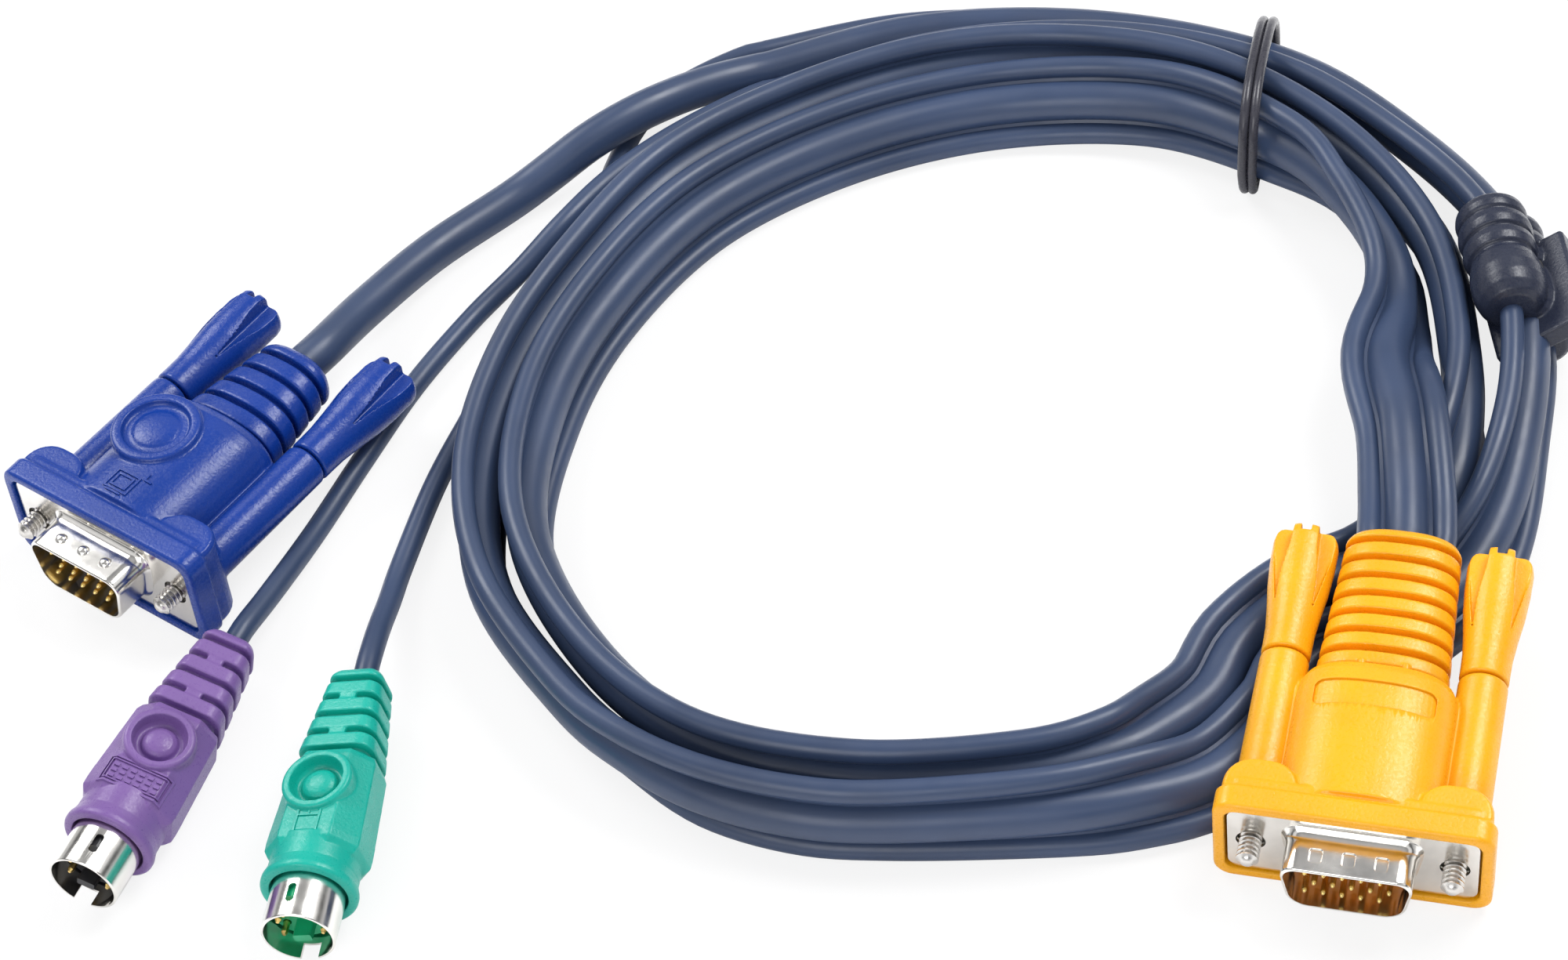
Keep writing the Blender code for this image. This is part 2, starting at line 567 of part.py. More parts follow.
def thumbscrew(name, owner, side, sign, knob_finish, screw_finish):
    """A knob and its captive screw, both with their origin on the screw's axis."""
    axis = Vector((sign * SCREW_SPACING / 2.0, 0.0, 0.0)) * MM
    start = TUBE_END + GAP
    end = start + KNOB_LENGTH
    knob = loft(name + "_" + side + "_knob", [
        fluted(KNOB_NECK_RADIUS - 0.25, 0.0, start),
        fluted(KNOB_NECK_RADIUS, 0.0, start + 0.3),
        fluted(KNOB_NECK_RADIUS, 0.0, start + KNOB_NECK * 0.6),
        fluted(KNOB_NECK_RADIUS + 0.3, FLUTE_DEPTH * 0.8, start + KNOB_NECK),
        fluted(KNOB_RADIUS, FLUTE_DEPTH, end - KNOB_LENGTH * 0.35),
        fluted(KNOB_RADIUS, FLUTE_DEPTH, end - 1.6),
        fluted(KNOB_RADIUS - 0.6, FLUTE_DEPTH, end - 0.5),
        fluted(KNOB_RADIUS - 1.6, FLUTE_DEPTH, end),
    ], owner, finish=knob_finish)
    bore = loft(knob.name + "_bore", [
        circle(SCREW_RADIUS + GAP, start - 1.0, FINE_SIDES),
        circle(SCREW_RADIUS + GAP, start + SCREW_IN_KNOB + GAP, FINE_SIDES),
    ], owner)
    slot = loft(knob.name + "_slot", [
        rectangle(SLOT_WIDTH, 4.0 * KNOB_RADIUS, 0.1, end - SLOT_DEPTH, 1),
        rectangle(SLOT_WIDTH, 4.0 * KNOB_RADIUS, 0.1, end + 1.0, 1),
    ], owner)
    screw = loft(name + "_" + side + "_screw", [
        circle(SCREW_RADIUS - SCREW_CHAMFER, -SCREW_TIP, FINE_SIDES),
        circle(SCREW_RADIUS, -SCREW_TIP + SCREW_CHAMFER, FINE_SIDES),
        circle(SCREW_RADIUS, start + SCREW_IN_KNOB, FINE_SIDES),
    ], owner, finish=screw_finish)
    for thing in (knob, bore, slot, screw):
        thing.location = axis
    cut(knob, bore)
    cut(knob, slot)


def d_plug(name, place, finish, plastic, relief):
    """A whole D-shaped plug."""
    owner = empty(name + "_place", place)
    hood = d_hood(name + "_hood", owner, finish, relief)
    d_contacts(name, owner, NICKEL, plastic, INNER_PLASTIC)
    for side, sign in (("left", -1.0), ("right", 1.0)):
        thumbscrew(name, owner, side, sign, finish, STEEL)
    return hood, owner


def round_plug(name, place, finish, plastic):
    """A whole six-pin round plug."""
    owner = empty(name + "_place", place)
    hood = loft(name + "_hood", [
        circle(COLLAR_LIP_RADIUS - 0.5, COLLAR_FRONT),
        circle(COLLAR_LIP_RADIUS, COLLAR_FRONT + 0.4),
        circle(COLLAR_LIP_RADIUS, COLLAR_FRONT + 1.2),
        circle(COLLAR_RADIUS, COLLAR_FRONT + 2.4),
        circle(COLLAR_RADIUS, BODY_FRONT + 1.5),
    ], owner, finish=finish)

    def chamfered(width, height, y):
        x = width / 2.0
        z = height / 2.0
        c = BODY_CHAMFER
        return corner_ring(((x - c, z), (c - x, z), (-x, z - c), (-x, c - z), (c - x, -z), (x - c, -z),
                            (x, c - z), (x, z - c)), 0.5, y, 1)

    join(hood, loft(name + "_body", [
        chamfered(BODY_WIDTH - 1.0, BODY_HEIGHT - 1.0, BODY_FRONT),
        chamfered(BODY_WIDTH, BODY_HEIGHT, BODY_FRONT + 0.7),
        chamfered(BODY_BACK_WIDTH, BODY_BACK_HEIGHT, BODY_BACK - 0.6),
        chamfered(BODY_BACK_WIDTH - 1.2, BODY_BACK_HEIGHT - 1.2, BODY_BACK),
    ], owner))
    relief_start = BODY_BACK + 0.05
    join(hood, loft(name + "_relief", ribbed_rings(
        relief_start, ROUND_RELIEF_END, ROUND_RELIEF_WIDTHS, ROUND_RELIEF_HEIGHTS, ROUND_GROOVES,
        SMALL_GROOVE_WIDTH, SMALL_GROOVE_DEPTH, 12), owner))
    pitch = (ROUND_RELIEF_END - relief_start) / ROUND_GROOVES
    for number in (1, 3):
        middle = relief_start + number * pitch + SMALL_GROOVE_WIDTH / 2.0
        share = number / ROUND_GROOVES
        height = ROUND_RELIEF_HEIGHTS[0] + (ROUND_RELIEF_HEIGHTS[1] - ROUND_RELIEF_HEIGHTS[0]) * share
        join(hood, loft(name + "_bridge_%d" % number, [
            rectangle(BRIDGE_WIDTH, height - 0.7, 0.2, middle - SMALL_GROOVE_WIDTH, 1),
            rectangle(BRIDGE_WIDTH, height - 0.7, 0.2, middle + SMALL_GROOVE_WIDTH, 1),
        ], owner))
    share = (SMALL_RING_AT[1] - BODY_FRONT) / (BODY_BACK - BODY_FRONT)
    top = (BODY_HEIGHT + (BODY_BACK_HEIGHT - BODY_HEIGHT) * share) / 2.0
    join(hood, thumb_ring(name + "_ring", owner, SMALL_RING_OUTER, SMALL_RING_INNER, SMALL_RING_HEIGHT,
                          SMALL_DOME_RADIUS, SMALL_DOME_HEIGHT, SMALL_RING_AT, top))
    cut(hood, loft(name + "_socket", [
        circle(SLEEVE_RADIUS + GAP, COLLAR_FRONT - 1.0),
        circle(SLEEVE_RADIUS + GAP, SLEEVE_LENGTH + GAP),
    ], owner))
    inner = SLEEVE_RADIUS - SLEEVE_WALL
    sleeve = loft(name + "_sleeve", [
        circle(SLEEVE_RADIUS, 0.0), circle(SLEEVE_RADIUS, SLEEVE_LENGTH),
        circle(inner, SLEEVE_LENGTH), circle(inner, 0.0),
    ], owner, closed=True, finish=NICKEL)
    stand = Matrix.Rotation(math.pi / 2.0, 4, "X")
    cut(sleeve, loft(name + "_detent", [
        rectangle(DETENT_WIDTH, DETENT_LENGTH, 0.45, 3.0, 2),
        rectangle(DETENT_WIDTH, DETENT_LENGTH, 0.45, 6.0, 2),
    ], owner, turn=Matrix.Translation(Vector((0.0, DETENT_FRONT + DETENT_LENGTH / 2.0, 0.0)) * MM) @ stand))
    cut(sleeve, loft(name + "_notch", [
        rectangle(NOTCH_WIDTH, 3.0, 0.2, -1.0, 1),
        rectangle(NOTCH_WIDTH, 3.0, 0.2, NOTCH_LENGTH, 1),
    ], owner, turn=Matrix.Translation(Vector((0.0, 0.0, -SLEEVE_RADIUS)) * MM)))
    disc = inner - GAP
    insulator = loft(name + "_insulator", [
        circle(disc, ROUND_INSULATOR_FACE), circle(disc, SLEEVE_LENGTH - GAP),
    ], owner, finish=plastic)
    join(insulator, loft(name + "_key", [
        [point - Vector((0.0, 0.0, KEY_LOW)) for point in rectangle(KEY_WIDTH, KEY_HEIGHT, 0.15, y, 1)]
        for y in (0.8, ROUND_INSULATOR_FACE + 0.5)
    ], owner))
    for number, angle in enumerate(ROUND_PIN_ANGLES):
        x = ROUND_PIN_RING * math.cos(math.radians(angle))
        z = ROUND_PIN_RING * math.sin(math.radians(angle))
        cut(insulator, loft(name + "_pin_hole", [
            circle(ROUND_PIN_RADIUS + GAP * 0.5, ROUND_INSULATOR_FACE - 1.0, 8, x, z),
            circle(ROUND_PIN_RADIUS + GAP * 0.5, ROUND_PIN_FRONT + ROUND_PIN_LENGTH + GAP, 8, x, z),
        ], owner))
        loft(name + "_pin_%d" % (number + 1), [
            circle(ROUND_PIN_RADIUS * 0.5, ROUND_PIN_FRONT, 8, x, z),
            circle(ROUND_PIN_RADIUS, ROUND_PIN_FRONT + 0.4, 8, x, z),
            circle(ROUND_PIN_RADIUS, ROUND_PIN_FRONT + ROUND_PIN_LENGTH, 8, x, z),
        ], owner, finish=GOLD)


def catmull(points, share, before, here, after, beyond):
    """A point on the smooth curve between two route points."""
    p0, p1, p2, p3 = (Vector(points[k]) for k in (before, here, after, beyond))
    return 0.5 * (
        2.0 * p1 + (p2 - p0) * share + (2.0 * p0 - 5.0 * p1 + 4.0 * p2 - p3) * share ** 2
        + (3.0 * p1 - p0 - 3.0 * p2 + p3) * share ** 3
    )


def smooth_route(points, spacing, closed=False):
    """Evenly spaced points on one smooth curve through a route's own points."""
    count = len(points)
    fine = []
    for k in range(count if closed else count - 1):
        if closed:
            knots = ((k - 1) % count, k, (k + 1) % count, (k + 2) % count)
        else:
            knots = (max(k - 1, 0), k, k + 1, min(k + 2, count - 1))
        fine.extend(catmull(points, step / 24.0, *knots) for step in range(24))
    fine.append(Vector(points[0] if closed else points[-1]))
    along = [0.0]
    for one, two in zip(fine, fine[1:]):
        along.append(along[-1] + (Vector(two[:3]) - Vector(one[:3])).length)
    pieces = max(2, round(along[-1] / spacing))
    even = []
    index = 0
    for k in range(pieces + 1):
        wanted = along[-1] * k / pieces
        while index < len(along) - 2 and along[index + 1] < wanted:
            index += 1
        share = (wanted - along[index]) / (along[index + 1] - along[index])
        even.append(fine[index].lerp(fine[index + 1], min(share, 1.0)))
    return even[:-1] if closed else even


def flat_frames(stations):
    """The place, width direction and thickness direction at each station of the flat cable."""
    frames = []
    last = len(stations) - 1
    for k, station in enumerate(stations):
        ahead = Vector(stations[min(k + 1, last)][:3])
        behind = Vector(stations[max(k - 1, 0)][:3])
        travel = (ahead - behind).normalized()
        inner = Vector((0.0, 0.0, 1.0)).cross(travel).normalized()
        upward = travel.cross(inner)
        tilt = math.radians(station[3])
        across = inner * math.cos(tilt) + upward * math.sin(tilt)
        frames.append((Vector(station[:3]), across, travel.cross(across), travel))
    return frames


def cable_lobes(extra=0.0):
    """The flat cable's three lobes, each wider by a clearance."""
    return (
        (-THIN_OFFSET, THIN_RADIUS + extra), (0.0, VIDEO_RADIUS + extra), (THIN_OFFSET, THIN_RADIUS + extra))


def cable_rings(frames, extra=0.0, web=WEB_HALF):
    """Rings along the flat cable, or along a channel round it."""
    section = lobed(cable_lobes(extra), web)
    return [
        [place - LAYOUT_CENTRE + across * point.x + thick * point.z for point in section]
        for place, across, thick, travel in frames
    ]


def flat_cable():
    """The three-lobed cable from the switch plug to the split."""
    frames = flat_frames(smooth_route(FLAT_ROUTE, STATION_SPACING))
    loft("flat_cable", cable_rings(frames), None, finish=JACKET)
    return frames


def round_cord(name, route, radius):
    """A round cord as a curve with a round bevel."""
    curve = bpy.data.curves.new(name, "CURVE")
    curve.dimensions = "3D"
    curve.bevel_depth = radius * MM
    curve.bevel_resolution = 2
    curve.use_fill_caps = True
    points = smooth_route(route, CORD_STATION_SPACING)
    spline = curve.splines.new("POLY")
    spline.points.add(len(points) - 1)
    for point, place in zip(spline.points, points):
        point.co = (*((place - LAYOUT_CENTRE) * MM), 1.0)
    curve.materials.append(JACKET)
    cord = bpy.data.objects.new(name, curve)
    bpy.context.collection.objects.link(cord)


def choke(frames):
    """The moulded choke on the outer pass, with the ferrite core in it."""
    index = min(range(len(frames)), key=lambda k: (frames[k][0] - CHOKE_CENTRE_STATION).length)
    place, across, thick, travel = frames[index]
    owner = bpy.data.objects.new("choke_place", None)
    bpy.context.collection.objects.link(owner)
    turn = Matrix((across, travel, across.cross(travel))).transposed().to_4x4()
    owner.matrix_world = Matrix.Translation((place - LAYOUT_CENTRE) * MM) @ turn
    half = CHOKE_LENGTH / 2.0
    outer = ((-THIN_OFFSET, CHOKE_REAR_RADIUS), (0.0, CHOKE_MIDDLE_RADIUS), (THIN_OFFSET, CHOKE_FRONT_RADIUS))
    housing = loft("choke_housing", [
        lobed(outer, 2.0, y, 8) for y in (-half, half)
    ], owner, finish=CHOKE_PLASTIC)
    set_over = Vector((0.0, 0.0, CHOKE_PLATE_SET_OVER))
    ends = (-CHOKE_PLATE_SHIFT - CHOKE_PLATE_LENGTH / 2.0, -CHOKE_PLATE_SHIFT + CHOKE_PLATE_LENGTH / 2.0)
    join(housing, loft("choke_plate", [
        [point - set_over for point in rectangle(CHOKE_PLATE_THICKNESS, CHOKE_PLATE_HEIGHT, 0.6, y, 1)]
        for y in ends
    ], owner))
    span = math.ceil((half + CHOKE_PLATE_SHIFT) / STATION_SPACING) + 1
    channel = CHOKE_CLEARANCE + GAP
    near = frames[index - span:index + span + 1]
    cut(housing, loft("choke_channel", cable_rings(near, channel, 1.0), None))
    core_half = CORE_LENGTH / 2.0
    cut(housing, loft("choke_cavity", [
        lobed(cable_lobes(channel + CORE_WALL + GAP), 1.0, y) for y in (-core_half - GAP, core_half + GAP)
    ], owner))
    core = loft("ferrite_core", [
        lobed(cable_lobes(channel + CORE_WALL), 1.0, y) for y in (-core_half, core_half)
    ], owner, finish=FERRITE)
    cut(core, loft("core_channel", cable_rings(near, channel, 1.0), None))


def coil_tie():
    """Two turns of tie wire round the three passes, as one band of two strands."""
    heading = Vector((math.cos(math.radians(TIE_HEADING)), math.sin(math.radians(TIE_HEADING)), 0.0))
    wide = heading.cross(Vector((0.0, 0.0, 1.0)))
    path = smooth_route([(*loop, 0.0) for loop in TIE_LOOP], 3.4, closed=True)
    places = [TIE_CENTRE - LAYOUT_CENTRE + heading * point.x + Vector((0.0, 0.0, point.y)) for point in path]
    section = lobed(((-TIE_STRAND_RADIUS, TIE_STRAND_RADIUS), (TIE_STRAND_RADIUS, TIE_STRAND_RADIUS)), 0.2)
    rings = []
    for k, place in enumerate(places):
        travel = (places[(k + 1) % len(places)] - places[k - 1]).normalized()
        outward = travel.cross(wide)
        rings.append([place + wide * point.x + outward * point.z for point in section])
    loft("coil_tie", rings, None, closed=True, finish=TIE_PLASTIC)


clear_scene()
YELLOW = material("yellow_hood", (0.93, 0.50, 0.01), 0.5)
BLUE = material("blue_hood", (0.03, 0.08, 0.42), 0.5)
PURPLE = material("purple_hood", (0.36, 0.20, 0.49), 0.5)
GREEN = material("green_hood", (0.01, 0.45, 0.25), 0.5)
AMBER = material("amber_insulator", (0.20, 0.06, 0.01), 0.4)
BLACK = material("black_insulator", (0.01, 0.01, 0.012), 0.4)
GREEN_INSULATOR = material("green_insulator", (0.01, 0.30, 0.15), 0.4)
NICKEL = material("nickel", (0.75, 0.73, 0.70), 0.25, 1.0)
STEEL = material("steel", (0.62, 0.61, 0.60), 0.3, 1.0)
GOLD = material("gold", (0.83, 0.62, 0.24), 0.25, 1.0)
INNER_PLASTIC = material("inner_plastic", (0.70, 0.70, 0.68), 0.5)
JACKET = material("jacket", (0.045, 0.065, 0.105), 0.45)
CHOKE_PLASTIC = material("choke_plastic", (0.02, 0.018, 0.026), 0.5)
FERRITE = material("ferrite", (0.03, 0.03, 0.03), 0.6)
TIE_PLASTIC = material("tie_plastic", (0.02, 0.018, 0.024), 0.5)

switch_hood, switch_owner = d_plug(
    "switch_plug", SWITCH_PLUG_PLACE, YELLOW, AMBER,
    (SWITCH_RELIEF_END, SWITCH_RELIEF_WIDTHS, SWITCH_RELIEF_HEIGHTS, SWITCH_GROOVES))
label_recess(switch_hood, switch_owner)
monitor_hood, monitor_owner = d_plug(
    "monitor_plug", MONITOR_PLUG_PLACE, BLUE, BLACK,
    (MONITOR_RELIEF_END, MONITOR_RELIEF_WIDTHS, MONITOR_RELIEF_HEIGHTS, MONITOR_GROOVES))
join(monitor_hood, thumb_ring("monitor_ring", monitor_owner, RING_OUTER, RING_INNER, RING_HEIGHT, DOME_RADIUS,
                              DOME_HEIGHT, MONITOR_RING_AT, HOOD_CROWN / 2.0))
round_plug("keyboard_plug", KEYBOARD_PLUG_PLACE, PURPLE, BLACK)
round_plug("mouse_plug", MOUSE_PLUG_PLACE, GREEN, GREEN_INSULATOR)
flat_stations = flat_cable()
round_cord("video_cord", VIDEO_ROUTE, VIDEO_RADIUS)
round_cord("keyboard_cord", KEYBOARD_ROUTE, THIN_RADIUS)
round_cord("mouse_cord", MOUSE_ROUTE, THIN_RADIUS)
choke(flat_stations)
coil_tie()
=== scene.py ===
# %% [markdown]
# # A coiled keyboard, video and mouse cable
#
# One flat cable with three lobes leaves a yellow plug, lies in a coil of three passes and
# splits into three round cords, which end in a blue, a purple and a green plug. The solids
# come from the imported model. This notebook gives them their moulded forms, their finishes,
# a camera and a studio. Lengths are in millimetres and are multiplied by MM where Blender
# needs metres.

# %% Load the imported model
import math

import bpy
from mathutils import Matrix, Vector


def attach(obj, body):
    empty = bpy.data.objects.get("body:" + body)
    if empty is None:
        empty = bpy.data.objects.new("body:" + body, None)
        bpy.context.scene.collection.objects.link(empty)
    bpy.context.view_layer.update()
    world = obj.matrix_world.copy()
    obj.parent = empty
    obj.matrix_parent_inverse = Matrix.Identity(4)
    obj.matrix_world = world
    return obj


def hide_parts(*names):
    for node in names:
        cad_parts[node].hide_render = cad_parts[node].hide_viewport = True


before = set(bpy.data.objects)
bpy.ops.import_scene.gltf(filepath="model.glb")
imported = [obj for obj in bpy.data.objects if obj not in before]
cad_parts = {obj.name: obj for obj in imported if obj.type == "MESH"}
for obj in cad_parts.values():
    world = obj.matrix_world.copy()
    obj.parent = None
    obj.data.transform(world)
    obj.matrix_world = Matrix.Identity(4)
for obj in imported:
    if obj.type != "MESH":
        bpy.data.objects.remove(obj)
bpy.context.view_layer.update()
MM = 0.001
print("nodes:", len(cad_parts))

# %% [markdown]
# ## The camera
#
# The photograph was taken from above and in front with a long lens. The camera stands half a
# metre away and is turned a few degrees about its own line of sight, because the plugs lie
# askew in the picture.


# %% Camera
def laid(place, *axes):
    """A frame from its place in millimetres and its three axes."""
    return Matrix.Translation(place * MM) @ Matrix(axes).transposed().to_4x4()


LAYOUT_CENTRE = Vector((3.34, -7.98, 0.0))
CAMERA_PLACE = Vector((0.0, -371.2, 406.2))
CAMERA_PITCH = math.radians(47.58)
CAMERA_ROLL = -0.121
CAMERA_LENS = 92.1

back = Vector((0.0, -math.cos(CAMERA_PITCH), math.sin(CAMERA_PITCH)))
level = Vector((1.0, 0.0, 0.0))
lift = back.cross(level)
right = level * math.cos(CAMERA_ROLL) + lift * math.sin(CAMERA_ROLL)
upward = lift * math.cos(CAMERA_ROLL) - level * math.sin(CAMERA_ROLL)
bpy.ops.object.camera_add()
camera = bpy.context.active_object
camera.matrix_world = laid(CAMERA_PLACE - LAYOUT_CENTRE, right, upward, back)
camera.data.lens = CAMERA_LENS
camera.data.sensor_width = 36.0
camera.data.clip_start = 0.01
bpy.context.scene.camera = camera
print("camera at", [round(value, 3) for value in camera.location])

# %% [markdown]
# ## The routes of the cords
#
# The route points are those of the solids: x, y, z and the tilt of the flat side. A
# Catmull-Rom curve runs through them, and points read from it at even steps make a smooth
# cable. The same curve is used for the flat cable and for the round cords.

# %% Route points
VIDEO_RADIUS = 2.9
THIN_RADIUS = 1.6
THIN_OFFSET = 4.85
WEB_HALF = 0.5
FLAT_ROUTE = (
    (78.9, -34.5, 12.3, 0), (80.2, -27.9, 12.8, -12), (82.0, -14.8, 13.3, -23), (82.8, -1.7, 10.9, 8),
    (86.5, 10.7, 7.3, 49), (87.4, 21.3, 7.5, 58), (83.5, 33.8, 8.6, 73), (76.6, 44.0, 9.1, 100),
    (61.2, 58.2, 7.0, 123), (38.3, 64.0, 5.3, 135), (15.1, 60.5, 5.3, 132), (-6.4, 49.8, 5.5, 130),
    (-21.8, 32.4, 5.9, 123), (-31.3, 13.2, 6.0, 121), (-35.0, -9.9, 6.5, 107),
    (-27.8, -32.4, 6.5, 105), (-14.9, -48.9, 6.5, 97), (4.1, -57.9, 6.5, 85), (25.2, -60.4, 6.3, 74),
    (36.9, -58.8, 5.9, 60), (44.4, -54.7, 4.7, 37), (51.0, -49.3, 3.7, 25), (56.3, -41.5, 3.6, 24),
    (65.6, -34.5, 3.5, 23), (76.1, -30.3, 3.0, 16), (84.8, -24.5, 4.0, 29), (90.1, -14.8, 5.9, 60),
    (93.6, 2.3, 6.6, 85), (93.9, 24.4, 6.6, 81), (84.2, 44.9, 7.9, 85), (68.4, 61.3, 8.2, 85),
    (49.0, 70.4, 6.7, 93), (28.6, 71.6, 6.5, 101), (7.3, 65.7, 6.2, 110), (-10.8, 55.8, 6.3, 108),
    (-24.6, 39.6, 6.3, 108), (-35.0, 21.5, 6.4, 111), (-40.9, 0.9, 6.3, 111), (-40.3, -20.0, 6.6, 101),
    (-31.1, -39.6, 6.5, 105), (-23.8, -49.3, 6.5, 100), (-15.1, -57.1, 6.5, 88), (-4.0, -62.6, 6.5, 82),
    (7.5, -65.3, 6.5, 81), (26.9, -66.9, 6.3, 70), (39.2, -65.9, 5.5, 48), (49.8, -62.4, 4.0, 26),
    (59.1, -54.1, 3.5, 23), (64.8, -46.3, 3.4, 22), (76.8, -42.6, 3.2, 18), (86.0, -36.0, 3.7, 24),
    (93.1, -26.6, 5.5, 49), (98.8, -13.1, 7.5, 63), (102.4, -0.1, 8.9, 60), (103.4, 11.9, 9.4, 60),
    (102.6, 25.0, 8.7, 60), (96.0, 42.0, 7.1, 56), (83.5, 59.4, 7.3, 49), (66.6, 72.0, 6.3, 45),
    (47.0, 80.9, 4.5, 34), (26.5, 83.9, 3.5, 20), (6.0, 80.5, 3.0, 5),
)
VIDEO_ROUTE = (
    (5.1, 80.3, 3.0), (2.0, 79.7, 3.2), (-4.0, 77.0, 4.6), (-10.0, 73.2, 6.2), (-16.0, 69.6, 6.8),
    (-22.5, 66.0, 6.1), (-29.0, 62.0, 4.5), (-35.0, 58.4, 3.2), (-46.5, 49.5, 3.5), (-56.0, 38.0, 5.4),
    (-62.0, 28.2, 7.9), (-64.3, 25.6, 8.0),
)
KEYBOARD_ROUTE = (
    (6.2, 75.6, 3.4), (3.2, 75.0, 3.5), (-4.0, 70.0, 4.9), (-12.0, 64.4, 5.6), (-20.0, 58.0, 5.6),
    (-27.0, 50.4, 5.4), (-34.0, 43.8, 3.2), (-41.5, 36.6, 1.8), (-50.0, 25.0, 1.7), (-57.5, 12.0, 1.7),
    (-64.5, -1.5, 2.3), (-70.2, -14.0, 5.0), (-73.2, -20.2, 6.45), (-74.5, -22.7, 6.5),
)
MOUSE_ROUTE = (
    (4.5, 85.1, 2.6), (1.7, 84.7, 2.5), (-5.0, 82.4, 1.8), (-11.0, 78.4, 1.7), (-15.5, 72.8, 1.7),
    (-18.8, 65.5, 1.7), (-21.6, 57.8, 1.7), (-25.2, 50.0, 1.7), (-30.0, 41.5, 1.7), (-35.5, 32.5, 1.7),
    (-41.0, 20.0, 1.7), (-47.5, 6.0, 1.7), (-52.6, -8.5, 1.8), (-54.4, -16.0, 3.0), (-55.7, -22.5, 5.0),
    (-56.8, -28.5, 6.4), (-57.4, -31.4, 6.5),
)


# %% Read smooth, even points from a route
def smooth_route(points, spacing):
    """Evenly spaced points on the smooth curve through a route's points."""
    knots = [Vector(point) for point in points]
    fine = []
    for k in range(len(knots) - 1):
        p0, p1, p2 = knots[max(k - 1, 0)], knots[k], knots[k + 1]
        p3 = knots[min(k + 2, len(knots) - 1)]
        for step in range(24):
            t = step / 24.0
            fine.append(0.5 * (
                2.0 * p1 + (p2 - p0) * t + (2.0 * p0 - 5.0 * p1 + 4.0 * p2 - p3) * t * t
                + (3.0 * p1 - p0 - 3.0 * p2 + p3) * t * t * t))
    fine.append(knots[-1])
    along = [0.0]
    for one, two in zip(fine, fine[1:]):
        along.append(along[-1] + (Vector(two[:3]) - Vector(one[:3])).length)
    pieces = round(along[-1] / spacing)
    even = []
    index = 0
    for k in range(pieces + 1):
        wanted = along[-1] * k / pieces
        while index < len(along) - 2 and along[index + 1] < wanted:
            index += 1
        share = (wanted - along[index]) / (along[index + 1] - along[index])
        even.append(fine[index].lerp(fine[index + 1], min(share, 1.0)))
    return even, along[-1]


flat_points, flat_length = smooth_route(FLAT_ROUTE, 2.0)
print("flat cable:", round(flat_length), "mm in", len(flat_points), "points")

# %% [markdown]
# ## The jacket
#
# The cable is sheathed in a dark slate-blue vinyl with a soft sheen. Drawing it through a
# die leaves faint lines along it, and handling leaves dull patches. The colour shifts a
# little over centimetres, and a very fine bump breaks up the highlight.


# %% Shared helpers for finishes
def new_finish(name, colour, roughness, metallic=0.0):
    """A Principled material with its node tree ready for a pattern on Object coordinates."""
    made = bpy.data.materials.new(name)
    made.use_nodes = True
    tree = made.node_tree
    shader = tree.nodes["Principled BSDF"]
    shader.inputs["Base Color"].default_value = (*colour, 1.0)
    shader.inputs["Roughness"].default_value = roughness
    shader.inputs["Metallic"].default_value = metallic
    where = tree.nodes.new("ShaderNodeTexCoord")
    return made, tree, shader, where


def add_noise(tree, where, scale, detail=3.0, rough=0.5):
    """A noise texture on the piece's own coordinates."""
    noise = tree.nodes.new("ShaderNodeTexNoise")
    noise.inputs["Scale"].default_value = scale
    noise.inputs["Detail"].default_value = detail
    noise.inputs["Roughness"].default_value = rough
    tree.links.new(where.outputs["Object"], noise.inputs["Vector"])
    return noise


def add_tones(tree, shader, noise, low, high, low_colour, high_colour):
    """Let the colour drift between two tones, from one value of a noise to another."""
    ramp = tree.nodes.new("ShaderNodeValToRGB")
    ramp.color_ramp.elements[0].position = low
    ramp.color_ramp.elements[1].position = high
    ramp.color_ramp.elements[0].color = (*low_colour, 1.0)
    ramp.color_ramp.elements[1].color = (*high_colour, 1.0)
    tree.links.new(noise.outputs["Fac"], ramp.inputs["Fac"])
    tree.links.new(ramp.outputs["Color"], shader.inputs["Base Color"])


def add_dullness(tree, shader, noise, low, high):
    """Let the roughness follow a noise, over a range."""
    spread = tree.nodes.new("ShaderNodeMapRange")
    spread.inputs["From Min"].default_value = 0.3
    spread.inputs["From Max"].default_value = 0.7
    spread.inputs["To Min"].default_value = low
    spread.inputs["To Max"].default_value = high
    tree.links.new(noise.outputs["Fac"], spread.inputs["Value"])
    tree.links.new(spread.outputs["Result"], shader.inputs["Roughness"])


def add_bump(tree, shader, noise, strength, depth):
    """A bump of a real depth in millimetres."""
    bump = tree.nodes.new("ShaderNodeBump")
    bump.inputs["Strength"].default_value = strength
    bump.inputs["Distance"].default_value = depth * MM
    tree.links.new(noise.outputs["Fac"], bump.inputs["Height"])
    tree.links.new(bump.outputs["Normal"], shader.inputs["Normal"])
    return bump


def tinted(colour, factor):
    return tuple(min(1.0, value * factor) for value in colour)


# %% Jacket finish
def jacket_finish():
    colour = (0.035, 0.056, 0.114)
    made, tree, shader, where = new_finish("jacket_vinyl", colour, 0.38)
    broad = add_noise(tree, where, 45.0, 3.0)
    add_tones(tree, shader, broad, 0.35, 0.68, tinted(colour, 0.86), tinted(colour, 1.14))
    smears = add_noise(tree, where, 160.0, 4.0, 0.6)
    add_dullness(tree, shader, smears, 0.30, 0.44)
    grain = add_noise(tree, where, 2600.0, 2.0)
    add_bump(tree, shader, grain, 0.25, 0.02)
    shader.inputs["Specular IOR Level"].default_value = 0.45
    return made


JACKET = jacket_finish()
print("made", JACKET.name)

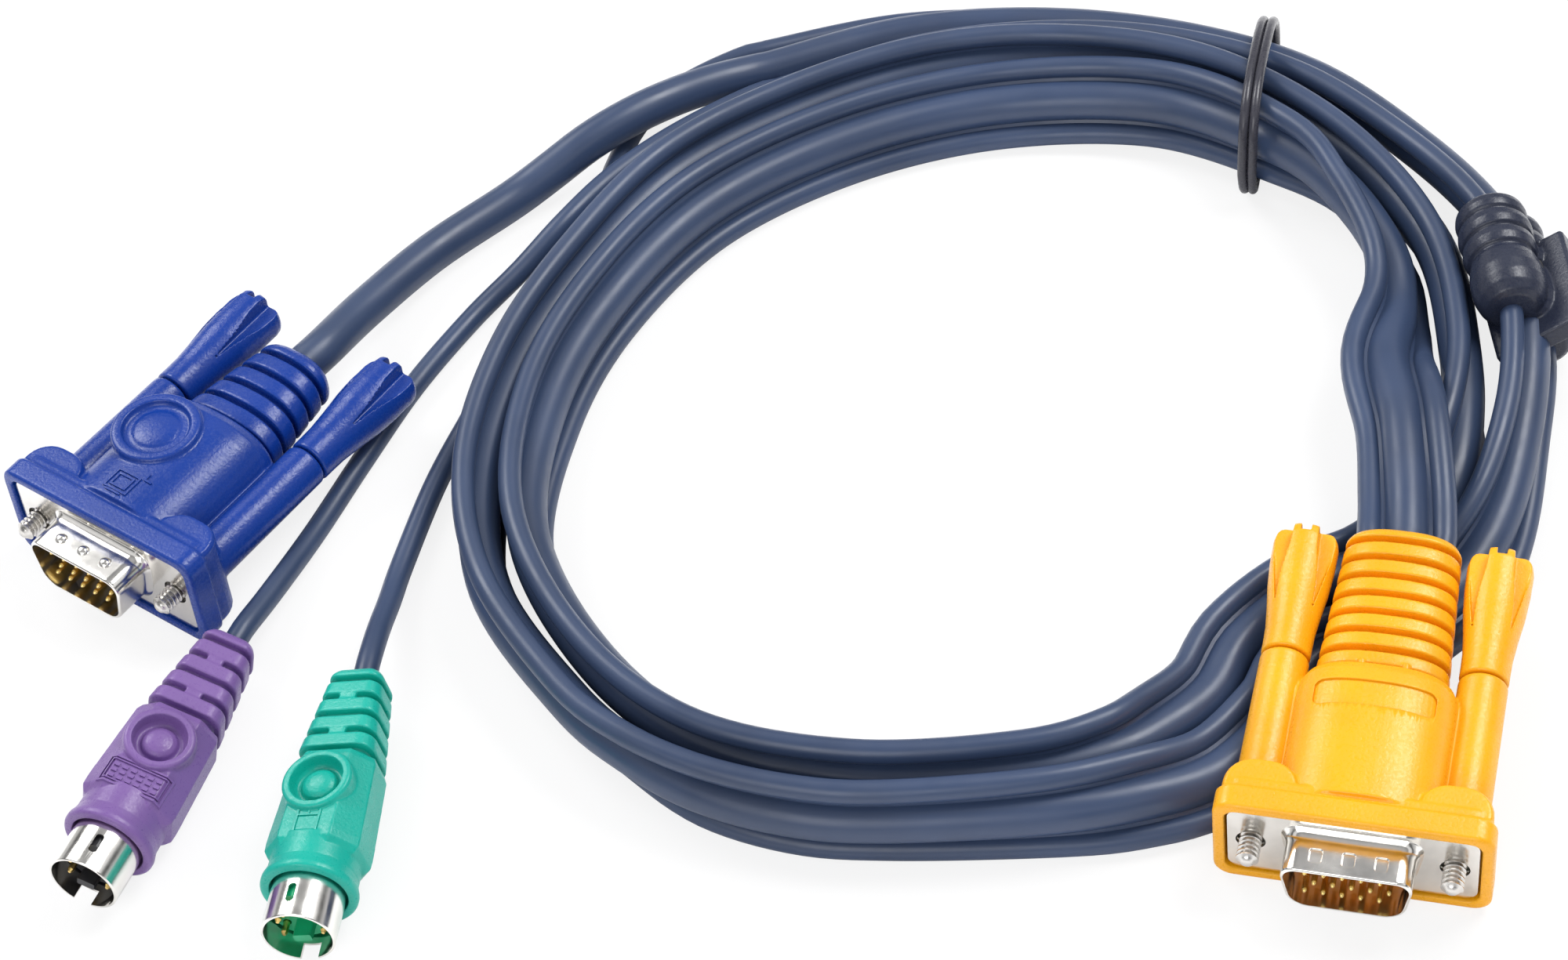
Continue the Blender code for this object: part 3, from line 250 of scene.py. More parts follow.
# %% [markdown]
# ## The flat cable
#
# Its section is a thick round lobe between two thin ones, joined by narrow webs. Blender's
# round bevel can't draw that, so rings of the section are placed along the route and
# skinned. Each ring stands across the direction of travel and is tilted as the route says.


# %% Section of the flat cable
def lobe_section(steps=9):
    """Points round the three lobes, as (across, thick)."""
    lobes = ((-THIN_OFFSET, THIN_RADIUS), (0.0, VIDEO_RADIUS), (THIN_OFFSET, THIN_RADIUS))
    upper = []
    for index, (centre, radius) in enumerate(lobes):
        meet = math.asin(WEB_HALF / radius)
        end = math.pi if index == 0 else math.pi - meet
        start = 0.0 if index == 2 else meet
        for k in range(steps + 1):
            angle = end + (start - end) * k / steps
            upper.append((centre + radius * math.cos(angle), radius * math.sin(angle)))
    lower = [(x, -z) for x, z in reversed(upper) if z > 0.001]
    return upper + lower


def travel_frames(points):
    """Place, across and thick directions at every point of the flat cable."""
    frames = []
    last = len(points) - 1
    for k, point in enumerate(points):
        ahead = Vector(points[min(k + 1, last)][:3])
        behind = Vector(points[max(k - 1, 0)][:3])
        travel = (ahead - behind).normalized()
        inner = Vector((0.0, 0.0, 1.0)).cross(travel).normalized()
        tilt = math.radians(point[3])
        across = inner * math.cos(tilt) + travel.cross(inner) * math.sin(tilt)
        frames.append((Vector(point[:3]) - LAYOUT_CENTRE, across, travel.cross(across), travel))
    return frames


flat_frames = travel_frames(flat_points)
section = lobe_section()
print("section points:", len(section))


# %% Skin the flat cable
def only(piece):
    """Make a piece the only selected and active one."""
    bpy.ops.object.select_all(action="DESELECT")
    piece.select_set(True)
    bpy.context.view_layer.objects.active = piece


def skin(name, rings, finish):
    """A closed mesh through rings of points, in millimetres."""
    count = len(rings[0])
    vertices = [tuple(point * MM) for ring in rings for point in ring]
    faces = []
    for r in range(len(rings) - 1):
        one = r * count
        two = one + count
        for k in range(count):
            after = (k + 1) % count
            faces.append((one + k, one + after, two + after, two + k))
    faces.append(tuple(range(count))[::-1])
    faces.append(tuple(range(len(vertices) - count, len(vertices))))
    data = bpy.data.meshes.new(name)
    data.from_pydata(vertices, [], faces)
    piece = bpy.data.objects.new(name, data)
    bpy.context.collection.objects.link(piece)
    data.materials.append(finish)
    only(piece)
    bpy.ops.object.mode_set(mode="EDIT")
    bpy.ops.mesh.select_all(action="SELECT")
    bpy.ops.mesh.normals_make_consistent(inside=False)
    bpy.ops.object.mode_set(mode="OBJECT")
    bpy.ops.object.shade_smooth_by_angle(angle=math.radians(40.0))
    return piece


RELIEF_REACH = 2.5
SWITCH_AXIS = Vector((0.319, 0.944, 0.087))
lead_in = flat_frames[0][0] - SWITCH_AXIS * RELIEF_REACH
cable_stations = [(lead_in, *flat_frames[0][1:])] + flat_frames
flat_jacket = skin("flat_jacket", [
    [place + across * x + thick * z for x, z in section] for place, across, thick, travel in cable_stations
], JACKET)
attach(flat_jacket, "cable")
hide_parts("flat_cable")
print("flat jacket faces:", len(flat_jacket.data.polygons))


# %% [markdown]
# ## The three round cords
#
# Past the split each lobe goes on as a round cord of its own. A curve with a round bevel is
# the right tool. Each starts a little inside its lobe, slightly thinner, so that the two
# skins don't flicker against each other.


# %% Round cords
def bevelled_line(name, points, radius, resolution, finish):
    """A curve with a round bevel through points, in millimetres."""
    line = bpy.data.curves.new(name, "CURVE")
    line.dimensions = "3D"
    line.bevel_depth = radius * MM
    line.bevel_resolution = resolution
    line.use_fill_caps = True
    spline = line.splines.new("POLY")
    spline.points.add(len(points) - 1)
    for k, point in enumerate(points):
        spline.points[k].co = (*(point * MM), 1.0)
    spline.use_smooth = True
    line.materials.append(finish)
    piece = bpy.data.objects.new(name, line)
    bpy.context.collection.objects.link(piece)
    return piece


def round_cord(name, route, radius, offset, node, tail):
    """A round cord from its lobe of the flat cable into its plug's strain relief."""
    place, across, _, _ = flat_frames[-3]
    points = [place + across * offset] + [Vector(p) - LAYOUT_CENTRE for p in smooth_route(route, 2.0)[0]]
    points.append(points[-1] + Vector(tail))
    piece = bevelled_line(name, points, radius, 8, JACKET)
    piece.data.splines[0].points[0].radius = SLIMMER_START
    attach(piece, "cable")
    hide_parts(node)


SLIMMER_START = 0.96
round_cord("video_jacket", VIDEO_ROUTE, VIDEO_RADIUS, 0.0, "video_cord", (-1.6, -1.8, 0.0))
round_cord("keyboard_jacket", KEYBOARD_ROUTE, THIN_RADIUS, THIN_OFFSET, "keyboard_cord", (-0.9, -1.8, 0.0))
round_cord("mouse_jacket", MOUSE_ROUTE, THIN_RADIUS, -THIN_OFFSET, "mouse_cord", (-0.4, -2.0, 0.0))

# %% [markdown]
# ## Where the plugs lie
#
# Every plug is modelled in its own frame: x across it, y from its mating face towards its
# cable, z up. A matrix made of its place, yaw, pitch and roll then lays it on the table.


# %% Plug frames
def plug_frame(place, yaw, pitch, roll):
    return (
        Matrix.Translation((Vector(place) - LAYOUT_CENTRE) * MM)
        @ Matrix.Rotation(math.radians(yaw), 4, "Z")
        @ Matrix.Rotation(math.radians(pitch), 4, "X")
        @ Matrix.Rotation(math.radians(roll), 4, "Y")
    )


PLUGS = {
    "switch": plug_frame((63.4, -80.3, 8.0), -18.7, 5.0, 0.0),
    "monitor": plug_frame((-91.8, -6.0, 8.0), -41.1, 0.0, 0.0),
    "keyboard": plug_frame((-93.8, -59.9, 6.5), -27.4, 0.0, 14.0),
    "mouse": plug_frame((-66.6, -72.3, 6.5), -12.6, 0.0, -10.0),
}
print("plugs:", sorted(PLUGS))

# %% [markdown]
# ## Drawing out a form
#
# Most moulded parts here are one outline that grows and shrinks along an axis: a rim, a
# tube, a ribbed strain relief. So one helper adds a circle or a plane with rounded corners
# and extrudes and scales its face through a list of steps, as one would by hand. The draw
# direction is turned to the plug's y axis at the end, unless the form stands upright.


# %% The drawing helper
def drawn(name, steps, corner=None, segments=6, sides=64, at=(0.0, 0.0, 0.0), upright=False, wide_top=1.0,
          crown=2.0):
    """Extrude an outline through steps (distance, width, height), all in millimetres.

    The outline is a plane with rounded corners where a corner is given, and otherwise a
    circle. A crown over 2 swells the circle towards a rectangle.
    """
    distance, width, height = steps[0]
    bpy.ops.object.select_all(action="DESELECT")
    if corner is None:
        bpy.ops.mesh.primitive_circle_add(vertices=sides, radius=0.5, fill_type="NGON")
    else:
        bpy.ops.mesh.primitive_plane_add(size=1.0)
    piece = bpy.context.active_object
    piece.name = name
    if crown > 2.0:
        for vertex in piece.data.vertices:
            for axis in (0, 1):
                share = abs(vertex.co[axis]) * 2.0
                vertex.co[axis] = math.copysign(0.5 * share ** (2.0 / crown), vertex.co[axis])
    bpy.ops.object.mode_set(mode="EDIT")
    bpy.ops.mesh.select_all(action="SELECT")
    bpy.ops.transform.resize(value=(width * MM, height * MM, 1.0), center_override=(0.0, 0.0, 0.0))
    bpy.ops.object.mode_set(mode="OBJECT")
    for vertex in piece.data.vertices:
        if vertex.co.y > 0.0:
            vertex.co.x *= wide_top
    bpy.ops.object.mode_set(mode="EDIT")
    if corner is not None:
        bpy.ops.mesh.bevel(offset=corner * MM, segments=segments, affect="VERTICES")
    bpy.ops.transform.translate(value=(0.0, 0.0, distance * MM))
    for new_distance, new_width, new_height in steps[1:]:
        bpy.ops.mesh.extrude_region_move(
            TRANSFORM_OT_translate={"value": (0.0, 0.0, (new_distance - distance) * MM)})
        bpy.ops.transform.resize(
            value=(new_width / width, new_height / height, 1.0),
            center_override=(0.0, 0.0, new_distance * MM))
        distance, width, height = new_distance, new_width, new_height
    bpy.ops.mesh.select_all(action="SELECT")
    bpy.ops.mesh.normals_make_consistent(inside=False)
    bpy.ops.object.mode_set(mode="OBJECT")
    if not upright:
        piece.rotation_euler.x = -math.pi / 2.0
    piece.location = Vector(at) * MM
    bpy.ops.object.transform_apply()
    return piece


def round_drawn(name, steps, **options):
    """The same for a turned form, from steps (distance, diameter)."""
    return drawn(name, [(distance, size, size) for distance, size in steps], **options)


# %% Cutting, joining and finishing helpers
def apply_modifiers(piece):
    only(piece)
    for step in list(piece.modifiers):
        bpy.ops.object.modifier_apply(modifier=step.name)


def combine(target, tools, operation):
    """Apply one Boolean after another and remove the tools."""
    for tool in tools:
        step = target.modifiers.new("boolean", "BOOLEAN")
        step.operation = operation
        step.solver = "EXACT"
        step.object = tool
        apply_modifiers(target)
        bpy.data.objects.remove(tool, do_unlink=True)
    return target


def fuse(target, *tools):
    return combine(target, tools, "UNION")


def cut(target, *tools):
    return combine(target, tools, "DIFFERENCE")


def soften(piece, width):
    """Round the hard edges of a piece."""
    step = piece.modifiers.new("edges", "BEVEL")
    step.width = width * MM
    step.segments = 2
    step.limit_method = "ANGLE"
    step.angle_limit = math.radians(30.0)
    apply_modifiers(piece)
    bpy.ops.object.shade_smooth_by_angle(angle=math.radians(40.0))
    level_step = piece.modifiers.new("level", "WEIGHTED_NORMAL")
    level_step.keep_sharp = True
    apply_modifiers(piece)


def melt(piece, grain, most=70000):
    """Remake a joined form as one skin, so that its corners flow together as in a mould."""
    skin_step = piece.modifiers.new("skin", "REMESH")
    skin_step.mode = "VOXEL"
    skin_step.voxel_size = grain * MM
    ease = piece.modifiers.new("ease", "SMOOTH")
    ease.factor = 0.5
    ease.iterations = 2
    apply_modifiers(piece)
    faces = len(piece.data.polygons)
    if faces > most:
        thin = piece.modifiers.new("thin", "DECIMATE")
        thin.ratio = most / faces
        apply_modifiers(piece)
    bpy.ops.object.shade_smooth()


def settle(piece, plug, body, finish, slot, *nodes):
    """Lay a finished piece on the table, give it its finish, attach it to its body and hide the solids it
    replaces.
    """
    piece.matrix_world = PLUGS[plug] @ piece.matrix_world
    only(piece)
    bpy.ops.object.transform_apply()
    piece.data.name = piece.name
    piece.data.materials.clear()
    piece.data.materials.append(finish)
    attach(piece, body)
    if nodes:
        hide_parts(*nodes)
    print(piece.name, len(piece.data.polygons), "faces")


# %% [markdown]
# ## Moulded plastic
#
# The hoods are soft vinyl from a spark-eroded tool, which leaves a fine matte grain that
# glitters where light grazes it. An image of the grain would stretch over the curved forms, so
# one fine noise drives both the bump and the roughness, and single grains catch the light. A
# broad noise lets the colour drift very slightly.


# %% Hood finishes
def moulded_finish(name, colour, roughness=0.42, grain=0.055, grain_scale=2500.0):
    made, tree, shader, where = new_finish(name, colour, roughness)
    broad = add_noise(tree, where, 70.0, 3.0)
    add_tones(tree, shader, broad, 0.35, 0.66, tinted(colour, 0.92), tinted(colour, 1.06))
    spark = add_noise(tree, where, grain_scale, 3.0, 0.6)
    add_dullness(tree, shader, spark, roughness - 0.22, roughness + 0.02)
    add_bump(tree, shader, spark, 0.8, grain)
    shader.inputs["Specular IOR Level"].default_value = 0.4
    return made


YELLOW = moulded_finish("yellow_vinyl", (0.87, 0.395, 0.006), 0.42)
BLUE = moulded_finish("blue_vinyl", (0.005, 0.038, 0.26), 0.36)
PURPLE = moulded_finish("purple_vinyl", (0.180, 0.098, 0.305), 0.45)
GREEN = moulded_finish("green_vinyl", (0.003, 0.38, 0.30), 0.45)
print("four hood finishes")

# %% [markdown]
# ## The wide plug's hood
#
# A rim frames the metal plate. Behind it a lower step carries two rounded shoulders, from
# which tubes for the screws run back beside the body. The body narrows into a ribbed strain
# relief. These forms are drawn one by one, joined, and then melted into one skin.

# %% Sizes of the wide plug
SCREW_X = 12.495
TUBE = 6.3
TUBE_END = 27.3
GROOVE_WIDTH = 0.9
GROOVE_DEPTH = 1.4
HOOD_BACK = 24.3
RIM_WIDTH = 34.4
RIM_HEIGHT = 16.0
SHOULDER_X = 11.88
SCREW_BORE = 3.44
RIB_ROUND = 0.12


# %% A ribbed strain relief
def ribbed(name, start, end, widths, heights, grooves, groove_width, groove_depth, **outline):
    """A tapering strain relief with grooves all round it."""
    pitch = (end - start) / grooves

    def size(distance, inset):
        share = (distance - start) / (end - start)
        width = widths[0] + (widths[1] - widths[0]) * share
        height = heights[0] + (heights[1] - heights[0]) * share
        return distance, width - 2.0 * inset, height - 2.0 * inset

    steps = [size(start - 2.0, groove_depth)]
    for k in range(grooves):
        front = start + k * pitch
        rib = front + groove_width
        if k:
            steps += [size(front - RIB_ROUND, 0.0), size(front, RIB_ROUND), size(front + 0.02, groove_depth)]
        steps += [size(rib - 0.02, groove_depth), size(rib, RIB_ROUND), size(rib + RIB_ROUND, 0.0)]
    steps += [size(end - 1.5, 0.0), size(end - 0.8, 0.35), size(end - 0.3, 0.9), size(end, 1.7)]
    return drawn(name, steps, **outline)


# %% Hood of a wide plug
def wide_body(name, proud=0.0):
    """The crowned body of a wide plug, which can stand proud of its own surface."""
    swell = 2.0 * proud
    return drawn(name, [
        (3.7, 20.4 + swell, 16.0 + swell), (20.6, 20.4 + swell, 16.0 + swell),
        (22.6, 20.0 + swell, 15.2 + swell), (23.8, 19.0 + swell, 13.6 + swell), (HOOD_BACK, 18.2, 12.4),
    ], sides=72, crown=2.6)


def wide_hood(name, relief_end, widths, heights, grooves):
    """The rim, step, shoulders, tubes, body and strain relief of a wide plug, joined."""
    hood = drawn(name, [
        (-0.5, RIM_WIDTH - 0.7, RIM_HEIGHT - 0.7), (-0.15, RIM_WIDTH, RIM_HEIGHT),
        (2.6, RIM_WIDTH, RIM_HEIGHT), (3.0, RIM_WIDTH - 0.6, RIM_HEIGHT - 0.6),
    ], corner=2.2)
    step = drawn("step", [(2.0, 33.1, 14.7), (4.2, 33.1, 14.7), (4.6, 32.4, 14.0)], corner=2.4)
    pieces = [step]
    for side in (-1.0, 1.0):
        pieces.append(drawn("shoulder", [
            (-7.1, 8.6, 7.3), (-6.5, 9.3, 8.0), (6.5, 9.3, 8.0), (7.1, 8.6, 7.3),
        ], corner=3.4, upright=True, at=(side * SHOULDER_X, 3.7, 0.0)))
        pieces.append(round_drawn("tube", [
            (3.5, TUBE + 0.3), (TUBE_END - 0.35, TUBE), (TUBE_END, TUBE - 0.6),
        ], at=(side * SCREW_X, 0.0, 0.0)))
    pieces.append(wide_body("body"))
    pieces.append(ribbed("relief", HOOD_BACK, relief_end, widths, heights, grooves, GROOVE_WIDTH,
                         GROOVE_DEPTH, crown=2.5, sides=72))
    return fuse(hood, *pieces)


def hollow_out(hood):
    """Cut the pocket for the plates and the bores for the screws."""
    pocket = drawn("pocket", [(-1.5, 31.4, 13.15), (1.8, 31.4, 13.15)], corner=1.6)
    inner = drawn("inner_pocket", [(1.0, 18.9, 11.0), (6.8, 18.9, 11.0)], corner=1.5)
    deep = drawn("deep_pocket", [(6.5, 15.6, 10.6), (18.4, 15.6, 10.6)], corner=1.5)
    bores = [round_drawn("bore", [(1.0, SCREW_BORE), (TUBE_END + 1.0, SCREW_BORE)], sides=32,
                         at=(side * SCREW_X, 0.0, 0.0)) for side in (-1.0, 1.0)]
    cut(hood, pocket, inner, deep, *bores)


# %% [markdown]
# ### The yellow hood
#
# It has eight grooves, two small bridges across the first one and a shallow recess for a
# label, which is left bare. The recess is cut after the melt, so that its edge stays crisp. Its
# tool is trimmed by a copy of the body that is a little smaller, so its floor is crowned too.

# %% Yellow hood
yellow_hood = wide_hood("yellow_hood", 47.3, (17.0, 14.8), (9.8, 9.2), 8)
bridges = [drawn("bridge", [(24.0, 0.9, 10.4), (25.6, 0.9, 10.4)], corner=0.2, segments=2, at=(x, 0.0, 0.0))
           for x in (-2.5, 3.0)]
fuse(yellow_hood, *bridges)
hollow_out(yellow_hood)
melt(yellow_hood, 0.2)
recess = drawn("recess", [(4.0, 15.2, 3.7), (9.5, 15.2, 3.7)], corner=1.0, upright=True,
               at=(0.0, 18.7, 0.0))
cut(recess, wide_body("lowered_body", -0.28))
cut(yellow_hood, recess)
settle(yellow_hood, "switch", "cable", YELLOW, "yellow_plastic", "switch_plug_hood")

# %% [markdown]
# ### The blue hood
#
# The same tool family, with five grooves, a thumb ring round a low dome, and a small raised
# picture of a screen. The ring is three turned forms. The picture has to follow the crowned
# body, so its upright bars are trimmed by a copy of the body that stands a little proud.


# %% A thumb ring with its dome
def thumb_ring(name, at, outer, inner, height, dome, dome_height):
    """A raised ring with a bowl in it and a dome in the bowl, standing on the hood."""
    ring = round_drawn(name, [
        (-2.0, 2.0 * outer), (height * 0.55, 2.0 * outer), (height * 0.85, 2.0 * outer - 0.3),
        (height, 2.0 * outer - 0.9),
    ], upright=True, at=at)
    bowl = round_drawn("bowl", [
        (0.05, 2.0 * inner - 1.0), (height * 0.45, 2.0 * inner - 0.4), (height + 1.0, 2.0 * inner + 0.3),
    ], upright=True, at=at)
    cut(ring, bowl)
    mound = round_drawn("mound", [
        (-1.0, 2.0 * dome), (0.05, 2.0 * dome), (dome_height * 0.55, 1.72 * dome),
        (dome_height * 0.85, 1.2 * dome), (dome_height, 0.5 * dome),
    ], upright=True, at=at)
    return fuse(ring, mound)


# %% A raised picture that follows the hood's surface
def raised_picture(name, bars, surface, plug, finish, slot):
    """Thin upright bars (x, y, width, length), trimmed to stand just proud of a surface."""
    picture = None
    for x, y, width, length in bars:
        bar = drawn("bar", [(3.0, width, length), (10.0, width, length)], corner=0.04, segments=1,
                    upright=True, at=(x, y, 0.0))
        if picture is None:
            picture = bar
            picture.name = name
        else:
            fuse(picture, bar)
    combine(picture, [surface], "INTERSECT")
    settle(picture, plug, "cable", finish, slot)


def frame_bars(x, y, width, length, line):
    """Four bars that make an upright rectangular frame."""
    return [
        (x, y - length / 2.0, width + line, line), (x, y + length / 2.0, width + line, line),
        (x - width / 2.0, y, line, length), (x + width / 2.0, y, line, length),
    ]


# %% Blue hood
blue_hood = wide_hood("blue_hood", 41.0, (16.6, 11.2), (9.8, 8.8), 5)
fuse(blue_hood, thumb_ring("ring", (-3.4, 16.3, 7.8), 6.3, 4.9, 0.9, 3.6, 0.65))
hollow_out(blue_hood)
melt(blue_hood, 0.2)
settle(blue_hood, "monitor", "cable", BLUE, "blue_plastic", "monitor_plug_hood")
SCREEN_AT = (-0.9, 6.6)
screen_bars = frame_bars(*SCREEN_AT, 3.8, 3.2, 0.3) + frame_bars(*SCREEN_AT, 2.5, 2.0, 0.3)
screen_bars += [(-0.9, 4.6, 2.6, 0.3), (1.6, 8.9, 0.3, 1.2), (2.2, 8.4, 1.2, 0.3)]
raised_picture("screen_picture", screen_bars, wide_body("screen_surface", 0.2), "monitor", BLUE,
               "blue_plastic")

# %% [markdown]
# ## Knobs
#
# A knob is a short neck that opens into four petals, with a slot for a screwdriver across
# its end. The petals are left by four wedge-shaped valleys, so four cones are cut from a
# turned form.

# %% Sizes of a knob
KNOB_START = TUBE_END + 0.3
KNOB_END = KNOB_START + 18.9
KNOB_STEPS = [
    (0.0, 5.9), (0.25, 6.3), (2.0, 6.3), (4.0, 6.4), (7.0, 7.0), (10.5, 7.9), (14.0, 8.4),
    (17.2, 8.5), (18.2, 8.1), (18.7, 7.4), (18.9, 6.4),
]
VALLEY_RADIUS = 2.1
VALLEY_LENGTH = 14.0
VALLEY_MIDDLE = 12.6
VALLEY_OUT = 3.75
VALLEY_LEAN = math.radians(-4.5)
SLOT_DEPTH = 1.4
SLOT_WIDTH = 1.3


# %% Knob model
def knob(name, plug, side, body, finish, slot, node):
    """A turned knob with four valleys, a screwdriver slot and a bore for its screw."""
    axis = (side * SCREW_X, 0.0, 0.0)
    piece = round_drawn(name, [(KNOB_START + y, size) for y, size in KNOB_STEPS], at=axis)
    valleys = []
    for quarter in range(4):
        bpy.ops.object.select_all(action="DESELECT")
        bpy.ops.mesh.primitive_cone_add(vertices=4, radius1=0.0, radius2=VALLEY_RADIUS * MM,
                                        depth=VALLEY_LENGTH * MM)
        valley = bpy.context.active_object
        angle = math.pi / 4.0 + quarter * math.pi / 2.0
        outward = Vector((math.cos(angle), 0.0, math.sin(angle)))
        along = (Vector((0.0, 1.0, 0.0)) - outward * math.sin(VALLEY_LEAN)).normalized()
        aside = along.cross(outward).normalized()
        middle = Vector((side * SCREW_X, KNOB_START + VALLEY_MIDDLE, 0.0)) + outward * VALLEY_OUT
        valley.matrix_world = laid(middle, aside, along.cross(aside), along)
        only(valley)
        bpy.ops.object.transform_apply()
        valleys.append(valley)
    slot_tool = drawn("slot", [
        (KNOB_END - SLOT_DEPTH, SLOT_WIDTH, 12.0), (KNOB_END + 1.0, SLOT_WIDTH, 12.0),
    ], corner=0.05, segments=1, at=axis)
    bore = round_drawn("bore", [
        (KNOB_START - 1.0, SCREW_BORE), (KNOB_START + 8.3, SCREW_BORE),
    ], sides=24, at=axis)
    cut(piece, *valleys, slot_tool, bore)
    melt(piece, 0.13, 24000)
    settle(piece, plug, body, finish, slot, node)


# %% [markdown]
# ## Metals and screws
#
# Four metals show: steel on the screws, bright nickel on the shells and sleeves, a duller one
# on the plates behind, and gold on the pins. They differ in colour, roughness and scratches,
# so one function makes them all. A pressed shell is never quite flat, which a second, broad
# bump gives the bright nickel. A screw is a turned form, and ridges stand in for its thread.


# %% Metal finishes
def metal_finish(name, colour, roughness, scratch=0.012, wave=0.0):
    """Plated metal: fine scratches in the bump, cloudy roughness and the waves of a pressing."""
    made, tree, shader, where = new_finish(name, colour, roughness, 1.0)
    clouds = add_noise(tree, where, 260.0, 4.0, 0.6)
    add_dullness(tree, shader, clouds, roughness * 0.7, roughness * 1.5)
    add_tones(tree, shader, clouds, 0.3, 0.7, tinted(colour, 0.9), tinted(colour, 1.05))
    lines = add_noise(tree, where, 3000.0, 2.0)
    fine = add_bump(tree, shader, lines, 0.35, scratch)
    if wave:
        swell = tree.nodes.new("ShaderNodeBump")
        swell.inputs["Distance"].default_value = wave * MM
        waves = add_noise(tree, where, 120.0, 0.0)
        tree.links.new(waves.outputs["Fac"], swell.inputs["Height"])
        tree.links.new(swell.outputs["Normal"], fine.inputs["Normal"])
    return made


STEEL = metal_finish("screw_steel", (0.66, 0.64, 0.61), 0.22)
NICKEL = metal_finish("bright_nickel", (0.83, 0.81, 0.77), 0.15, 0.006, 0.30)
PLATE = metal_finish("dull_nickel", (0.78, 0.76, 0.70), 0.34, 0.02)
GOLD = metal_finish("gold_plate", (0.86, 0.62, 0.22), 0.2)
print("four metals")


# %% Screw model
def screw(name, plug, side, body, node):
    """A plain shank with a ridged, rounded tip."""
    steps = [(-3.5, 0.9), (-3.35, 1.5), (-3.1, 2.0)]
    thread = -3.0
    while thread < 3.0:
        steps += [(thread, 2.2), (thread + 0.22, 2.84), (thread + 0.36, 2.84), (thread + 0.58, 2.2)]
        thread += 0.64
    steps += [(thread + 0.4, 2.4), (KNOB_START + 8.0, 2.4)]
    piece = round_drawn(name, steps, sides=32, at=(side * SCREW_X, 0.0, 0.0))
    only(piece)
    bpy.ops.object.shade_smooth_by_angle(angle=math.radians(50.0))
    settle(piece, plug, body, STEEL, "screw_steel", node)


# %% Four knobs and four screws
for plug, finish, plastic in (("switch", YELLOW, "yellow_plastic"), ("monitor", BLUE, "blue_plastic")):
    for word, side in (("left", -1.0), ("right", 1.0)):
        body = plug + "_" + word + "_thumbscrew"
        knob(body + "_grip", plug, side, body, finish, plastic, plug + "_plug_" + word + "_knob")
        screw(body + "_thread", plug, side, body, plug + "_plug_" + word + "_screw")
print("thumbscrews done")

# %% [markdown]
# ## The metal shell
#
# The front shell is one pressing: a flat plate with two screw holes, a flared root and the
# D-shaped wall, with three dimples or bumps on its top. The wall is drawn from a plane whose
# lower side is narrower, and a smaller D is cut from it to make it hollow.

# %% Sizes of the D
D_WIDTH = 16.92
D_HEIGHT = 8.36
D_WALL = 0.45
PLATE_WIDTH = 30.81
PLATE_HEIGHT = 12.55
DIMPLE_PLACES = (-4.0, 0.0, 4.0)
DIMPLE_Y = -3.4
D_LOW = 1.0 - 2.0 * math.tan(math.radians(10.0)) * D_HEIGHT / D_WIDTH


def d_drawn(name, steps, corner):
    """Draw a D outline through steps (distance, how much wider than the D)."""
    return drawn(name, [(y, D_WIDTH + extra, D_HEIGHT + extra) for y, extra in steps], corner=corner,
                 segments=8, wide_top=D_LOW)


# %% Front shells
def front_shell(name, plug, square, node):
    """The flat plate with its D wall, two screw holes and three dimples or bumps."""
    shell = drawn(name, [(0.0, PLATE_WIDTH, PLATE_HEIGHT), (0.7, PLATE_WIDTH, PLATE_HEIGHT)], corner=1.6)
    wall = d_drawn("wall", [
        (-5.8, -0.5), (-5.65, -0.12), (-5.4, 0.0), (-1.5, 0.0), (-0.9, 0.15), (-0.4, 0.6), (-0.1, 1.3),
        (0.3, 1.6),
    ], 2.4)
    fuse(shell, wall)
    hollow = d_drawn("hollow", [(-6.5, -2.0 * D_WALL), (1.5, -2.0 * D_WALL)], 2.1)
    holes = [round_drawn("hole", [(-1.0, 3.7), (2.0, 3.7)], sides=32, at=(side * SCREW_X, 0.0, 0.0))
             for side in (-1.0, 1.0)]
    cut(shell, hollow, *holes)
    for x in DIMPLE_PLACES:
        if square:
            cut(shell, drawn("dimple", [(0.0, 1.5, 1.9), (0.6, 1.7, 2.1)], corner=0.3, segments=3,
                             upright=True, at=(x, DIMPLE_Y, D_HEIGHT / 2.0 - 0.22)))
        else:
            fuse(shell, round_drawn("dimple", [(0.0, 1.8), (0.35, 1.7), (0.6, 1.3), (0.75, 0.7)],
                                    sides=24, upright=True, at=(x, DIMPLE_Y, D_HEIGHT / 2.0 - 0.25)))
    soften(shell, 0.08)
    settle(shell, plug, "cable", NICKEL, "nickel", node)


front_shell("switch_face_shell", "switch", True, "switch_plug_front_shell")
front_shell("monitor_face_shell", "monitor", False, "monitor_plug_front_shell")
print("D shells done")

# %% [markdown]
# ## Insulators and pins
#
# A block of plastic fills the D and carries fifteen gold pins in three rows, the middle row
# set half a pitch aside. The block and its pins are one solid in the model, and two pieces
# here, because they have two finishes.


# %% Insulator finish
def clear_plastic(name, colour, roughness):
    """A smooth nylon with cloudy colour and a very fine grain."""
    made, tree, shader, where = new_finish(name, colour, roughness)
    broad = add_noise(tree, where, 220.0, 3.0)
    add_tones(tree, shader, broad, 0.35, 0.66, tinted(colour, 0.8), tinted(colour, 1.25))
    grain = add_noise(tree, where, 1800.0, 2.0)
    add_bump(tree, shader, grain, 0.3, 0.02)
    return made


AMBER = clear_plastic("amber_nylon", (0.46, 0.155, 0.022), 0.35)
BLACK = clear_plastic("black_nylon", (0.012, 0.012, 0.015), 0.4)
GREEN_CORE = clear_plastic("green_nylon", (0.004, 0.30, 0.13), 0.35)
PIN_PITCH = 2.29
PIN_ROW_GAP = 1.98
PIN_STEPS = [(-5.0, 0.3), (-4.85, 0.55), (-4.5, 0.76), (-1.0, 0.76)]
print("three nylons")


